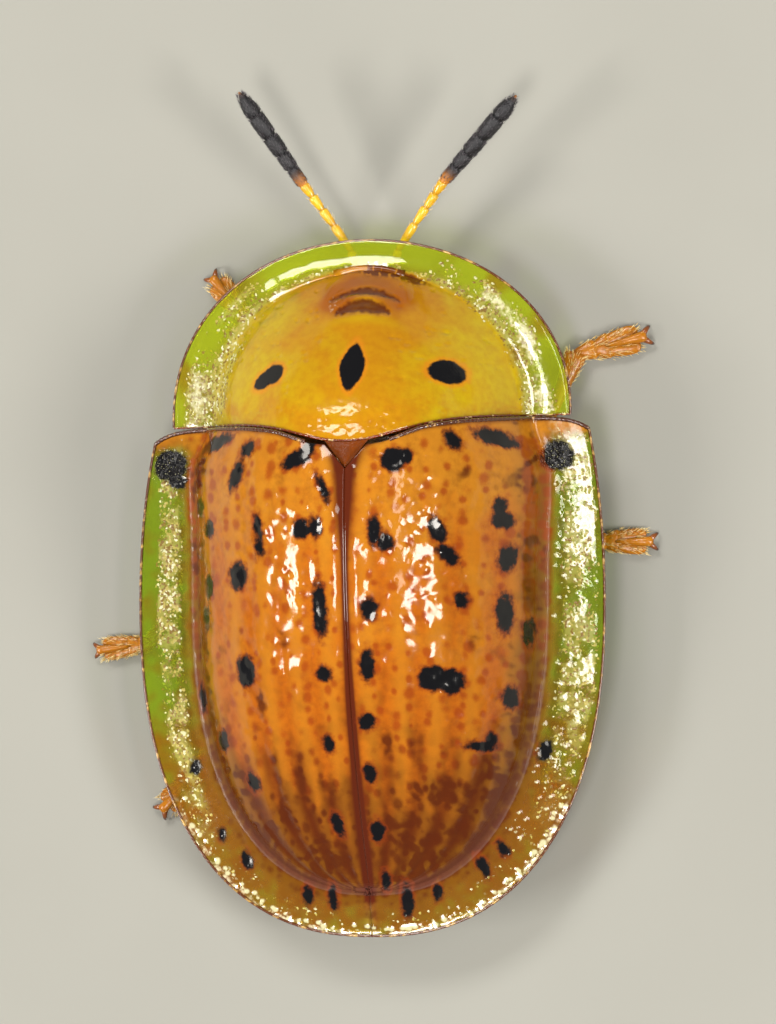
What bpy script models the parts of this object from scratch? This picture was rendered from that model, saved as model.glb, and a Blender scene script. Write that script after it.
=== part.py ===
"""Tortoise beetle, life size, standing on its six feet: head toward -Y, its left side toward +X, soles at Z 0."""

import math

import bmesh
import bpy
from mathutils import Matrix, Vector

MM = 0.001

# Clear gap kept between neighbouring pieces
GAP = 0.03

# Shell rim: height of its upper edge over the floor, and its rise toward the front
RIM_Z = 0.90
RIM_FRONT_RISE = 0.12

# Wing cases: outline, raised disc and wall
ELYTRA_HALF_WIDTH = 3.37
ELYTRA_WIDEST_Y = 1.24
ELYTRA_REAR_Y = 6.06
ELYTRA_SHOULDER_NARROWING = 0.17
ELYTRA_DISC_HALF_WIDTH = 2.50
ELYTRA_DISC_REAR_Y = 5.40
ELYTRA_PEAK_Y = 0.10
ELYTRA_DISC_RISE = 2.28
ELYTRA_WALL = 0.36
ELYTRA_SHOULDER_ROUNDING = 0.18

# Pronotum: outline, raised disc and wall
PRONOTUM_HALF_WIDTH = 2.88
PRONOTUM_WIDEST_Y = -1.45
PRONOTUM_FRONT_Y = -3.92
PRONOTUM_DISC_HALF_WIDTH = 2.20
PRONOTUM_DISC_FRONT_Y = -3.45
PRONOTUM_DISC_RISE = 2.04
PRONOTUM_WALL = 0.32

# Both: height of the crease between the flat margin and the disc, and the power of the outline curve
CREASE_RISE = 0.22
ELYTRA_POWER = 2.35
PRONOTUM_POWER = 2.05

# Line where the pronotum meets the wing cases: its place at the sides, the middle lobe and the slight turn
BASE_LINE_Y = -1.33
BASE_LOBE = 0.30
BASE_LOBE_SPREAD = 0.97
BASE_TURN = 0.035

# Share of a shell row that lies on the disc, and share of a wing case's rows ahead of its widest place
CREASE_SHARE = 0.75
FRONT_ROWS = 0.4

# Reach of the pronotum's rim and disc ahead of its widest place
RIM_REACH = PRONOTUM_WIDEST_Y - PRONOTUM_FRONT_Y
DISC_REACH = PRONOTUM_WIDEST_Y - PRONOTUM_DISC_FRONT_Y

# Scutellum, the small triangle between the wing cases
SCUTELLUM_HALF_WIDTH = 0.32
SCUTELLUM_LENGTH = 0.36

# Trunk: underside height and limits along the body
BELLY_Z = 0.66
PROTHORAX_Y = (-2.10, -1.14)
MESOTHORAX_Y = (-1.10, -0.24)
METATHORAX_Y = (-0.20, 1.42)
ABDOMEN_Y = (1.46, 4.82)

# Head
HEAD_CENTRE = Vector((0.0, -2.68, 0.72))
HEAD_RADII = Vector((0.70, 0.50, 0.42))
EYE_CENTRE = Vector((0.62, -2.76, 0.74))
EYE_RADII = Vector((0.20, 0.30, 0.27))

# Feelers: joint places (x outward, y, z) for each side, left first
ANTENNA_RADIUS = 0.22
CLUB_RADIUS = 0.25
ANTENNA_PATHS = {
    "left": ((0.27, -3.24, 0.45), (0.34, -3.80, 0.46), (1.06, -4.80, 0.76), (1.90, -6.05, 1.12)),
    "right": ((0.27, -3.24, 0.45), (0.34, -3.80, 0.46), (1.02, -4.75, 0.76), (2.13, -5.98, 1.12)),
}

# Legs: hip, knee, ankle and claw tip, x outward from the midline
LEG_PATHS = {
    "front_left": ((0.55, -1.75), (2.35, -1.55), (1.86, -2.72), (2.53, -3.49)),
    "front_right": ((0.55, -1.75), (2.42, -1.15), (2.86, -2.30), (3.98, -2.58)),
    "middle_left": ((0.80, -0.25), (2.48, 0.85), (3.30, 1.87), (4.24, 1.99)),
    "middle_right": ((0.80, -0.25), (2.48, -0.55), (3.03, 0.40), (4.07, 0.40)),
    "hind_left": ((0.85, 1.25), (2.30, 2.40), (2.50, 3.60), (3.28, 4.37)),
    "hind_right": ((0.85, 1.25), (2.35, 2.25), (2.30, 3.42), (2.42, 4.40)),
}
FEMUR_RADIUS = 0.25
TIBIA_RADIUS = 0.20
HIP_Z = 0.37
KNEE_Z = 0.34
ANKLE_Z = 0.25
TARSUS_HEIGHT = 0.36
TARSUS_HALF_WIDTH = 0.23

# Surface colours (red, green, blue), roughness
AMBER_DISC = ((0.62, 0.22, 0.03), 0.18)
YELLOW_DISC = ((0.66, 0.36, 0.04), 0.20)
BROWN_PLATE = ((0.36, 0.17, 0.05), 0.30)
ORANGE_HEAD = ((0.55, 0.26, 0.05), 0.32)
DARK_EYE = ((0.015, 0.012, 0.010), 0.15)
MOUTH_BROWN = ((0.20, 0.07, 0.02), 0.35)
STALK_YELLOW = ((0.66, 0.42, 0.06), 0.35)
CLUB_BLACK = ((0.012, 0.011, 0.011), 0.60)
BELLY_AMBER = ((0.48, 0.26, 0.06), 0.35)
LEG_AMBER = ((0.60, 0.28, 0.04), 0.30)


def base_line(x):
    """Y of the pronotum's hind edge at x."""
    return BASE_LINE_Y + BASE_LOBE * math.exp(-((x / BASE_LOBE_SPREAD) ** 2)) + BASE_TURN * x


def rim_height(y):
    """Height of the shell's upper rim, a little raised toward the front."""
    ahead = max(0.0, (ELYTRA_WIDEST_Y - y) / (ELYTRA_WIDEST_Y - PRONOTUM_FRONT_Y))
    return RIM_Z + RIM_FRONT_RISE * ahead**2


def margin_share(disc_radius, disc_width, rim_radius, rim_width):
    """0 at the disc's crease to 1 at the rim, by the distance from each."""
    outside_disc = max(0.0, (disc_radius - 1.0) * disc_width)
    inside_rim = max(0.0, (1.0 - rim_radius) * rim_width)
    return outside_disc / max(outside_disc + inside_rim, 1e-6)


def elytra_half_width(y):
    """Half width of the wing cases' rim at y."""
    if y < ELYTRA_WIDEST_Y:
        ahead = (ELYTRA_WIDEST_Y - y) / 2.22
        return ELYTRA_HALF_WIDTH - ELYTRA_SHOULDER_NARROWING * ahead**2
    behind = min(1.0, (y - ELYTRA_WIDEST_Y) / (ELYTRA_REAR_Y - ELYTRA_WIDEST_Y))
    return ELYTRA_HALF_WIDTH * (1.0 - behind**ELYTRA_POWER) ** (1.0 / ELYTRA_POWER)


def elytra_disc_half_width(y):
    """Half width of the wing cases' raised disc ahead of their widest place."""
    ahead = max(0.0, (ELYTRA_WIDEST_Y - y) / 2.22)
    shoulder = 0.30 * math.exp(-(((y - BASE_LINE_Y) / 0.45) ** 2))
    return ELYTRA_DISC_HALF_WIDTH + 0.10 * ahead**2 - shoulder


def elytra_height(x, y, inset=0.0):
    """Height of the wing cases' upper surface, or of the surface lying inset below it."""
    x = abs(x)
    behind = max(0.0, y - ELYTRA_WIDEST_Y)
    disc_width = elytra_disc_half_width(y) - inset
    disc_rear = ELYTRA_DISC_REAR_Y - inset
    disc_radius = (
        (x / disc_width) ** ELYTRA_POWER
        + (behind / (disc_rear - ELYTRA_WIDEST_Y)) ** ELYTRA_POWER
    ) ** (1.0 / ELYTRA_POWER)
    rim_radius = (
        (x / elytra_half_width(min(y, ELYTRA_WIDEST_Y))) ** ELYTRA_POWER
        + (behind / (ELYTRA_REAR_Y - ELYTRA_WIDEST_Y)) ** ELYTRA_POWER
    ) ** (1.0 / ELYTRA_POWER)
    level = rim_height(y) - inset
    if disc_radius >= 1.0:
        share = margin_share(disc_radius, disc_width, rim_radius, ELYTRA_HALF_WIDTH)
        return level + CREASE_RISE * (1.0 - share) ** 1.1
    if y > ELYTRA_PEAK_Y:
        along = (y - ELYTRA_PEAK_Y) / (disc_rear - ELYTRA_PEAK_Y)
        rise = (1.0 - along**2) ** 1.05
    else:
        rise = 1.0 - 0.085 * ((ELYTRA_PEAK_Y - y) / 1.2) ** 2
    width_here = disc_width
    if behind > 0.0:
        taper = 1.0 - (behind / (disc_rear - ELYTRA_WIDEST_Y)) ** ELYTRA_POWER
        width_here = disc_width * taper ** (1.0 / ELYTRA_POWER)
    across = min(1.0, x / max(width_here, 1e-6))
    return level + CREASE_RISE + ELYTRA_DISC_RISE * rise * (1.0 - across**2.3) ** 0.8


def pronotum_height(x, y, inset=0.0):
    """Height of the pronotum's upper surface, or of the surface lying inset below it."""
    x = abs(x)
    ahead = max(0.0, PRONOTUM_WIDEST_Y - y)
    disc_width = PRONOTUM_DISC_HALF_WIDTH - inset
    disc_front = PRONOTUM_DISC_FRONT_Y + inset
    disc_radius = (
        (x / disc_width) ** PRONOTUM_POWER
        + (ahead / (PRONOTUM_WIDEST_Y - disc_front)) ** PRONOTUM_POWER
    ) ** (1.0 / PRONOTUM_POWER)
    rim_radius = (
        (x / PRONOTUM_HALF_WIDTH) ** PRONOTUM_POWER
        + (ahead / (PRONOTUM_WIDEST_Y - PRONOTUM_FRONT_Y)) ** PRONOTUM_POWER
    ) ** (1.0 / PRONOTUM_POWER)
    level = rim_height(y) - inset
    if disc_radius >= 1.0:
        share = margin_share(disc_radius, disc_width, rim_radius, PRONOTUM_HALF_WIDTH)
        return level + CREASE_RISE * (1.0 - share) ** 1.1
    base = BASE_LINE_Y + BASE_LOBE
    along = min(1.0, max(0.0, (base - y) / (base - disc_front)))
    width_here = disc_width
    if ahead > 0.0:
        taper = 1.0 - (ahead / (PRONOTUM_WIDEST_Y - disc_front)) ** PRONOTUM_POWER
        width_here = disc_width * taper ** (1.0 / PRONOTUM_POWER)
    across = min(1.0, x / max(width_here, 1e-6))
    return level + CREASE_RISE + PRONOTUM_DISC_RISE * (1.0 - along**1.7) * (1.0 - across**2.2) ** 0.9


def under_shell(x, y, inset):
    """Height of the space under the shell, inset below its upper surface."""
    if y < -1.6:
        return pronotum_height(x, y, inset)
    if y > -0.8:
        return elytra_height(x, y, inset)
    return min(pronotum_height(x, y, inset), elytra_height(x, y, inset))


def material(name, look):
    """A Principled material from a colour and a roughness."""
    colour, roughness = look
    made = bpy.data.materials.get(name) or bpy.data.materials.new(name)
    made.use_nodes = True
    shader = made.node_tree.nodes["Principled BSDF"]
    shader.inputs["Base Color"].default_value = (*colour, 1.0)
    shader.inputs["Roughness"].default_value = roughness
    shader.inputs["Metallic"].default_value = 0.0
    made.diffuse_color = (*colour, 1.0)
    made.roughness = roughness
    return made


def finish(name, bm, look, collection):
    """Turns a bmesh in millimetres into a shaded, coloured object in metres."""
    bmesh.ops.remove_doubles(bm, verts=bm.verts, dist=1e-4)
    bmesh.ops.scale(bm, vec=(MM, MM, MM), verts=bm.verts)
    bmesh.ops.recalc_face_normals(bm, faces=bm.faces)
    mesh = bpy.data.meshes.new(name)
    bm.to_mesh(mesh)
    bm.free()
    mesh.shade_smooth()
    mesh.materials.append(material("finish_" + name, look))
    made = bpy.data.objects.new(name, mesh)
    collection.objects.link(made)
    return made


def plate(name, columns, rows, plan, top, bottom, look, collection):
    """A grid laid out in plan, lifted to its upper surface and extruded down to its lower one."""
    bm = bmesh.new()
    bmesh.ops.create_grid(bm, x_segments=columns, y_segments=rows, size=1.0)
    for vert in bm.verts:
        x, y = plan((vert.co.x + 1.0) / 2.0, (vert.co.y + 1.0) / 2.0)
        vert.co = (x, y, top(x, y))
    bmesh.ops.remove_doubles(bm, verts=bm.verts, dist=1e-4)
    upper = list(bm.faces)
    below = bmesh.ops.extrude_face_region(bm, geom=upper, use_keep_orig=True)["geom"]
    for vert in (item for item in below if isinstance(item, bmesh.types.BMVert)):
        vert.co.z = bottom(vert.co.x, vert.co.y)
    return finish(name, bm, look, collection)


def turned(name, start, end, rings, look, collection, segments=12, flatten=1.0):
    """A body turned about the line from start to end, from rings of (share of the length, radius)."""
    start, end = Vector(start), Vector(end)
    length = (end - start).length
    bm = bmesh.new()
    profile = [bm.verts.new((radius, 0.0, share * length)) for share, radius in rings]
    edges = [bm.edges.new(pair) for pair in zip(profile, profile[1:])]
    bmesh.ops.spin(
        bm, geom=profile + edges, cent=(0, 0, 0), axis=(0, 0, 1), angle=2 * math.pi, steps=segments
    )
    bmesh.ops.remove_doubles(bm, verts=bm.verts, dist=1e-4)
    bmesh.ops.scale(bm, vec=(1.0, flatten, 1.0), verts=bm.verts)
    forward = (end - start).normalized()
    side = forward.cross(Vector((0, 0, 1))).normalized()
    over = side.cross(forward)
    turn = Matrix((side, over, forward)).transposed().to_4x4()
    bmesh.ops.transform(bm, matrix=Matrix.Translation(start) @ turn, verts=bm.verts)
    return finish(name, bm, look, collection)


def limb_rings(radius_start, radius_middle, radius_end, length, steps=5):
    """Rings of a limb with round ends: quarter circles at each end and a swell between."""
    rings = []
    for step in range(steps):
        angle = step / (steps - 1) * math.pi / 2
        rings.append((radius_start * (1 - math.cos(angle)) / length, radius_start * math.sin(angle)))
    rings.append((0.5, radius_middle))
    for step in reversed(range(steps)):
        angle = step / (steps - 1) * math.pi / 2
        rings.append((1 - radius_end * (1 - math.cos(angle)) / length, radius_end * math.sin(angle)))
    return rings


def pulled_back(here, towards, other, radius):
    """End point at a bend: far enough from it that two round ends of this radius stay clear."""
    one = (Vector(towards) - Vector(here)).normalized()
    two = (Vector(other) - Vector(here)).normalized()
    half = one.angle(two) / 2
    reach = (radius + GAP / 2) / math.sin(half) - radius
    return Vector(here) + one * reach


def ellipsoid(name, centre, radii, look, collection, segments=20, rings=14, swell=1.0):
    """A ball stretched to three radii."""
    bm = bmesh.new()
    bmesh.ops.create_uvsphere(bm, u_segments=segments, v_segments=rings, radius=1.0)
    bmesh.ops.scale(bm, vec=radii * swell, verts=bm.verts)
    bmesh.ops.translate(bm, vec=centre, verts=bm.verts)
    return finish(name, bm, look, collection)


def mirrored(point, side):
    """A place given with x outward, put on the left (+X) or the right (-X)."""
    sign = 1.0 if side == "left" else -1.0
    return Vector((sign * point[0], *point[1:]))


def along_curve(angle, power):
    """Share of the half width and of the length at this angle of an outline curve."""
    return max(0.0, math.cos(angle)) ** (2.0 / power), abs(math.sin(angle)) ** (2.0 / power)


def over_crease(share, inner, crease, rim):
    """Place across a row that runs from inner to the crease, then from the crease to the rim."""
    if share < CREASE_SHARE:
        return inner.lerp(crease, math.sin(share / CREASE_SHARE * math.pi / 2))
    return crease.lerp(rim, (share - CREASE_SHARE) / (1.0 - CREASE_SHARE))


def pronotum_plan(u, v):
    """Plan of the pronotum: u across, v from the hind edge to the front."""
    start = math.asin((PRONOTUM_WIDEST_Y - BASE_LINE_Y) / (PRONOTUM_WIDEST_Y - PRONOTUM_FRONT_Y))
    angle = start + (math.pi / 2 - start) * v
    across, along = along_curve(angle, PRONOTUM_POWER)
    along = math.copysign(along, angle)
    rim = Vector((PRONOTUM_HALF_WIDTH * across, PRONOTUM_WIDEST_Y - along * RIM_REACH))
    crease = Vector((PRONOTUM_DISC_HALF_WIDTH * across, PRONOTUM_WIDEST_Y - along * DISC_REACH))
    if v == 0.0:
        rim.y = crease.y = BASE_LINE_Y
    place = over_crease(abs(2 * u - 1), Vector((0.0, crease.y)), crease, rim)
    x = math.copysign(place.x, u - 0.5)
    return x, place.y + (base_line(x) - BASE_LINE_Y) * (1.0 - v) ** 2


def elytron_plan(sign):
    """Plan of one wing case: u from the seam to the rim, v from the front edge to the rear."""
    def plan(u, v):
        front = BASE_LINE_Y + GAP + 0.02
        if v < FRONT_ROWS:
            y = front + (ELYTRA_WIDEST_Y - front) * v / FRONT_ROWS
            rim = Vector((elytra_half_width(y), y))
            crease = Vector((elytra_disc_half_width(y), y))
        else:
            angle = (v - FRONT_ROWS) / (1.0 - FRONT_ROWS) * math.pi / 2
            across, along = along_curve(angle, ELYTRA_POWER)
            rear, disc_rear = ELYTRA_REAR_Y - ELYTRA_WIDEST_Y, ELYTRA_DISC_REAR_Y - ELYTRA_WIDEST_Y
            rim = Vector((ELYTRA_HALF_WIDTH * across, ELYTRA_WIDEST_Y + rear * along))
            crease = Vector((ELYTRA_DISC_HALF_WIDTH * across, ELYTRA_WIDEST_Y + disc_rear * along))
        place = over_crease(u, Vector((0.0, crease.y)), crease, rim)
        fade = max(0.0, 1.0 - v / FRONT_ROWS) ** 2
        y = place.y + (base_line(sign * place.x) - BASE_LINE_Y) * fade
        y += ELYTRA_SHOULDER_ROUNDING * (place.x / rim.x if rim.x else 0.0) ** 14 * fade
        notch = SCUTELLUM_HALF_WIDTH * max(0.0, (scutellum_tip() - y) / SCUTELLUM_LENGTH)
        inner = GAP + notch * max(0.0, 1.0 - place.x / ELYTRA_HALF_WIDTH)
        return sign * max(place.x + inner * max(0.0, 1.0 - place.x), GAP), y
    return plan


def scutellum_tip():
    """Y of the scutellum's hind point."""
    return base_line(0.0) + GAP + SCUTELLUM_LENGTH


def scutellum_plan(u, v):
    """Plan of the scutellum: u across, v from its front edge to its point."""
    half = SCUTELLUM_HALF_WIDTH * (1.0 - v) + 0.01 * v
    x = half * (2 * u - 1)
    front = base_line(x) + GAP + 0.02
    return x, front + (scutellum_tip() - 0.04 - front) * v


def trunk_plan(span, front_share, rear_share, inset):
    """Plan of a trunk piece inside the shell's hollow, its ends narrowed to these shares."""
    def plan(u, v):
        y = span[0] + (span[1] - span[0]) * v
        if y > ELYTRA_WIDEST_Y:
            behind = (y - ELYTRA_WIDEST_Y) / (ELYTRA_DISC_REAR_Y - inset - ELYTRA_WIDEST_Y)
            half = (ELYTRA_DISC_HALF_WIDTH - inset) * (1 - behind**ELYTRA_POWER) ** (1 / ELYTRA_POWER)
        elif y > BASE_LINE_Y:
            half = min(elytra_disc_half_width(y), ELYTRA_DISC_HALF_WIDTH) - inset
        else:
            half = PRONOTUM_DISC_HALF_WIDTH - inset
        share = front_share + (rear_share - front_share) * v
        rounding = 1.0 - 0.10 * max(0.0, abs(2 * v - 1) - 0.7) / 0.3
        return half * share * rounding * (2 * u - 1), y
    return plan


def belly(x, y):
    """Underside of the trunk, level in the middle and rising to the flanks."""
    return BELLY_Z + 0.10 * min(1.0, abs(x) / 2.1) ** 3


def build_shell(collection):
    """Pronotum, the two wing cases and the scutellum."""
    plate(
        "pronotum", 24, 12, pronotum_plan, pronotum_height,
        lambda x, y: pronotum_height(x, y, PRONOTUM_WALL), YELLOW_DISC, collection,
    )
    for side, sign in (("left", 1.0), ("right", -1.0)):
        plate(
            "elytron_" + side, 16, 25, elytron_plan(sign), elytra_height,
            lambda x, y: elytra_height(x, y, ELYTRA_WALL), AMBER_DISC, collection,
        )
    plate(
        "scutellum", 4, 3, scutellum_plan, elytra_height,
        lambda x, y: elytra_height(x, y, ELYTRA_WALL), BROWN_PLATE, collection,
    )


def build_trunk(collection):
    """Prothorax, mesothorax, metathorax and abdomen, filling the hollow of the shell."""
    inset = ELYTRA_WALL + GAP
    pieces = (
        ("prothorax", PROTHORAX_Y, 0.80, 0.92, 8, 6),
        ("mesothorax", MESOTHORAX_Y, 0.90, 0.92, 8, 5),
        ("metathorax", METATHORAX_Y, 0.92, 0.93, 8, 7),
        ("abdomen", ABDOMEN_Y, 0.93, 0.84, 8, 12),
    )
    for name, span, front_share, rear_share, columns, rows in pieces:
        plate(
            name, columns, rows, trunk_plan(span, front_share, rear_share, inset),
            lambda x, y: under_shell(x, y, inset), belly, BELLY_AMBER, collection,
        )


def build_head(collection, cutters):
    """Head with its eyes and mouthparts."""
    head = ellipsoid("head", HEAD_CENTRE, HEAD_RADII, ORANGE_HEAD, collection)
    for side in ("left", "right"):
        centre = mirrored(EYE_CENTRE, side)
        ellipsoid("eye_" + side, centre, EYE_RADII, DARK_EYE, collection, 16, 10)
        socket = ellipsoid("socket_" + side, centre, EYE_RADII, DARK_EYE, cutters, 16, 10, 1.12)
        socket.hide_render = True
        socket.display_type = "WIRE"
        cut = head.modifiers.new("socket_" + side, "BOOLEAN")
        cut.operation = "DIFFERENCE"
        cut.solver = "EXACT"
        cut.object = socket
    jaw = HEAD_CENTRE + Vector((0.0, -0.16, -HEAD_RADII.z - 0.02))
    turned(
        "mouthparts", jaw + Vector((-0.24, 0, 0)), jaw + Vector((0.24, 0, 0)),
        limb_rings(0.10, 0.14, 0.10, 0.48, 4), MOUTH_BROWN, collection, 10, 0.8,
    )


def build_antennae(collection):
    """Feelers: first joint, stalk and club on each side."""
    for side, path in ANTENNA_PATHS.items():
        points = [mirrored(place, side) for place in path]
        parts = (
            ("scape", points[0], pulled_back(points[1], points[0], points[2], ANTENNA_RADIUS)),
            ("stalk", pulled_back(points[1], points[2], points[0], ANTENNA_RADIUS), points[2]),
            ("club", points[2] + (points[3] - points[2]).normalized() * GAP * 2, points[3]),
        )
        for part, start, end in parts:
            length = (end - start).length
            if part == "club":
                rings = limb_rings(CLUB_RADIUS * 0.8, CLUB_RADIUS, CLUB_RADIUS * 0.6, length, 4)
            else:
                rings = limb_rings(ANTENNA_RADIUS, ANTENNA_RADIUS, ANTENNA_RADIUS, length, 4)
            look = CLUB_BLACK if part == "club" else STALK_YELLOW
            turned(f"antenna_{side}_{part}", start, end, rings, look, collection, 10)


def tarsus_plan(start, tip):
    """Plan of a foot: u across, v along from the ankle to the claws, widest at the two-lobed pad."""
    forward = (tip - start).normalized()
    side = Vector((forward.y, -forward.x))

    def plan(u, v):
        swell = 0.62 + 0.38 * math.sin(min(1.0, v / 0.72) * math.pi / 2) ** 2
        narrowing = 1.0 - 0.45 * max(0.0, (v - 0.72) / 0.28) ** 1.5
        place = start + (tip - start) * v + side * (2 * u - 1) * TARSUS_HALF_WIDTH * swell * narrowing
        return place.x, place.y
    return plan


def build_legs(collection):
    """Femur, tibia and tarsus of the six legs, each foot with a flat sole on the floor."""
    for name, path in LEG_PATHS.items():
        side = name.split("_")[1]
        heights = (HIP_Z, KNEE_Z, ANKLE_Z, ANKLE_Z)
        hip, knee, ankle, tip = (
            mirrored((*place, height), side) for place, height in zip(path, heights)
        )
        femur_end = pulled_back(knee, hip, ankle, FEMUR_RADIUS)
        tibia_start = pulled_back(knee, ankle, hip, FEMUR_RADIUS)
        tibia_end = pulled_back(ankle, knee, tip, TIBIA_RADIUS)
        turned(
            f"leg_{name}_femur", hip, femur_end,
            limb_rings(0.20, FEMUR_RADIUS, 0.21, (femur_end - hip).length, 4), LEG_AMBER, collection, 10,
        )
        turned(
            f"leg_{name}_tibia", tibia_start, tibia_end,
            limb_rings(0.18, TIBIA_RADIUS, TIBIA_RADIUS, (tibia_end - tibia_start).length, 4),
            LEG_AMBER, collection, 10,
        )
        flat_ankle = pulled_back(ankle, tip, knee, TIBIA_RADIUS).xy
        flat_tip = tip.xy
        length = (flat_tip - flat_ankle).length

        def top(x, y, flat_ankle=flat_ankle, length=length):
            along = (Vector((x, y)) - flat_ankle).length / length
            return TARSUS_HEIGHT * (1.0 - 0.30 * min(1.0, along) ** 2)

        plate(
            f"leg_{name}_tarsus", 4, 7, tarsus_plan(flat_ankle, flat_tip), top,
            lambda x, y: 0.0, LEG_AMBER, collection,
        )


def new_collection(name):
    """A collection linked to the scene."""
    made = bpy.data.collections.new(name)
    bpy.context.scene.collection.children.link(made)
    return made


def main():
    for old in list(bpy.data.objects):
        bpy.data.objects.remove(old, do_unlink=True)
    model = new_collection("tortoise_beetle")
    cutters = new_collection("cutters")
    build_shell(model)
    build_trunk(model)
    build_head(model, cutters)
    build_antennae(model)
    build_legs(model)


main()
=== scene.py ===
"""Tortoise beetle, life size: shell, head, feelers, legs and underside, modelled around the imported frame."""

import logging
import math
from contextlib import contextmanager
from dataclasses import dataclass, field
from enum import Enum
from types import SimpleNamespace
from typing import Callable, ClassVar, Iterator, Optional, Sequence, Union

import bpy
import numpy as np
from mathutils import Matrix, Vector, noise


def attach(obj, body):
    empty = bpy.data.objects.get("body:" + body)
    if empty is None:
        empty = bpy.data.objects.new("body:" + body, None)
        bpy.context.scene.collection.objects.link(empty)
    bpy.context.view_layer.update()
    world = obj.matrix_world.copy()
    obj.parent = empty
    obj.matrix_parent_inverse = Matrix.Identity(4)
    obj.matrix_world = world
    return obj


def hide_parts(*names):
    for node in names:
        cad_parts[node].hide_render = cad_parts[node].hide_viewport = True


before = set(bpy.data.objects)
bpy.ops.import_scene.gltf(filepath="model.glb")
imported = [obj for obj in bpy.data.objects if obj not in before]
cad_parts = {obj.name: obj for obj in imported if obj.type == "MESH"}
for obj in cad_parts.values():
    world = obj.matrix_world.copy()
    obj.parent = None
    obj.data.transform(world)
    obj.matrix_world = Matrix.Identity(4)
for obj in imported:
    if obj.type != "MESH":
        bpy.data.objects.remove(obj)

LOG = logging.getLogger("tortoise_beetle")
MM = 0.001
TINY = 1e-6
FAR_OUTSIDE = -0.2
BEAD_PACE = 1.05
Array = np.ndarray
Draw = np.random.Generator
Piece = bpy.types.Object
Socket = bpy.types.NodeSocket
Height = Callable[[float, float], float]
Inputs = Optional[dict[Union[str, int], object]]
Plan = tuple[float, float]
Place = tuple[float, float, float]
Colour = tuple[float, float, float]


class Side(Enum):
    """A side of the beetle, with the sign of X on it."""

    LEFT = 1.0
    RIGHT = -1.0

    @property
    def word(self) -> str:
        """The side's name as the frame's nodes write it."""
        return self.name.lower()


# Modelling bench


@dataclass(frozen=True)
class Ring:
    """One cross-section of a loft, in millimetres: its place along Z, half sizes and shift."""

    at: float
    wide: float
    high: float
    aside: float = 0.0
    lift: float = 0.0


def rings(*sizes: tuple[float, ...]) -> list[Ring]:
    """Rings from their sizes, in order."""
    return [Ring(*size) for size in sizes]


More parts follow.
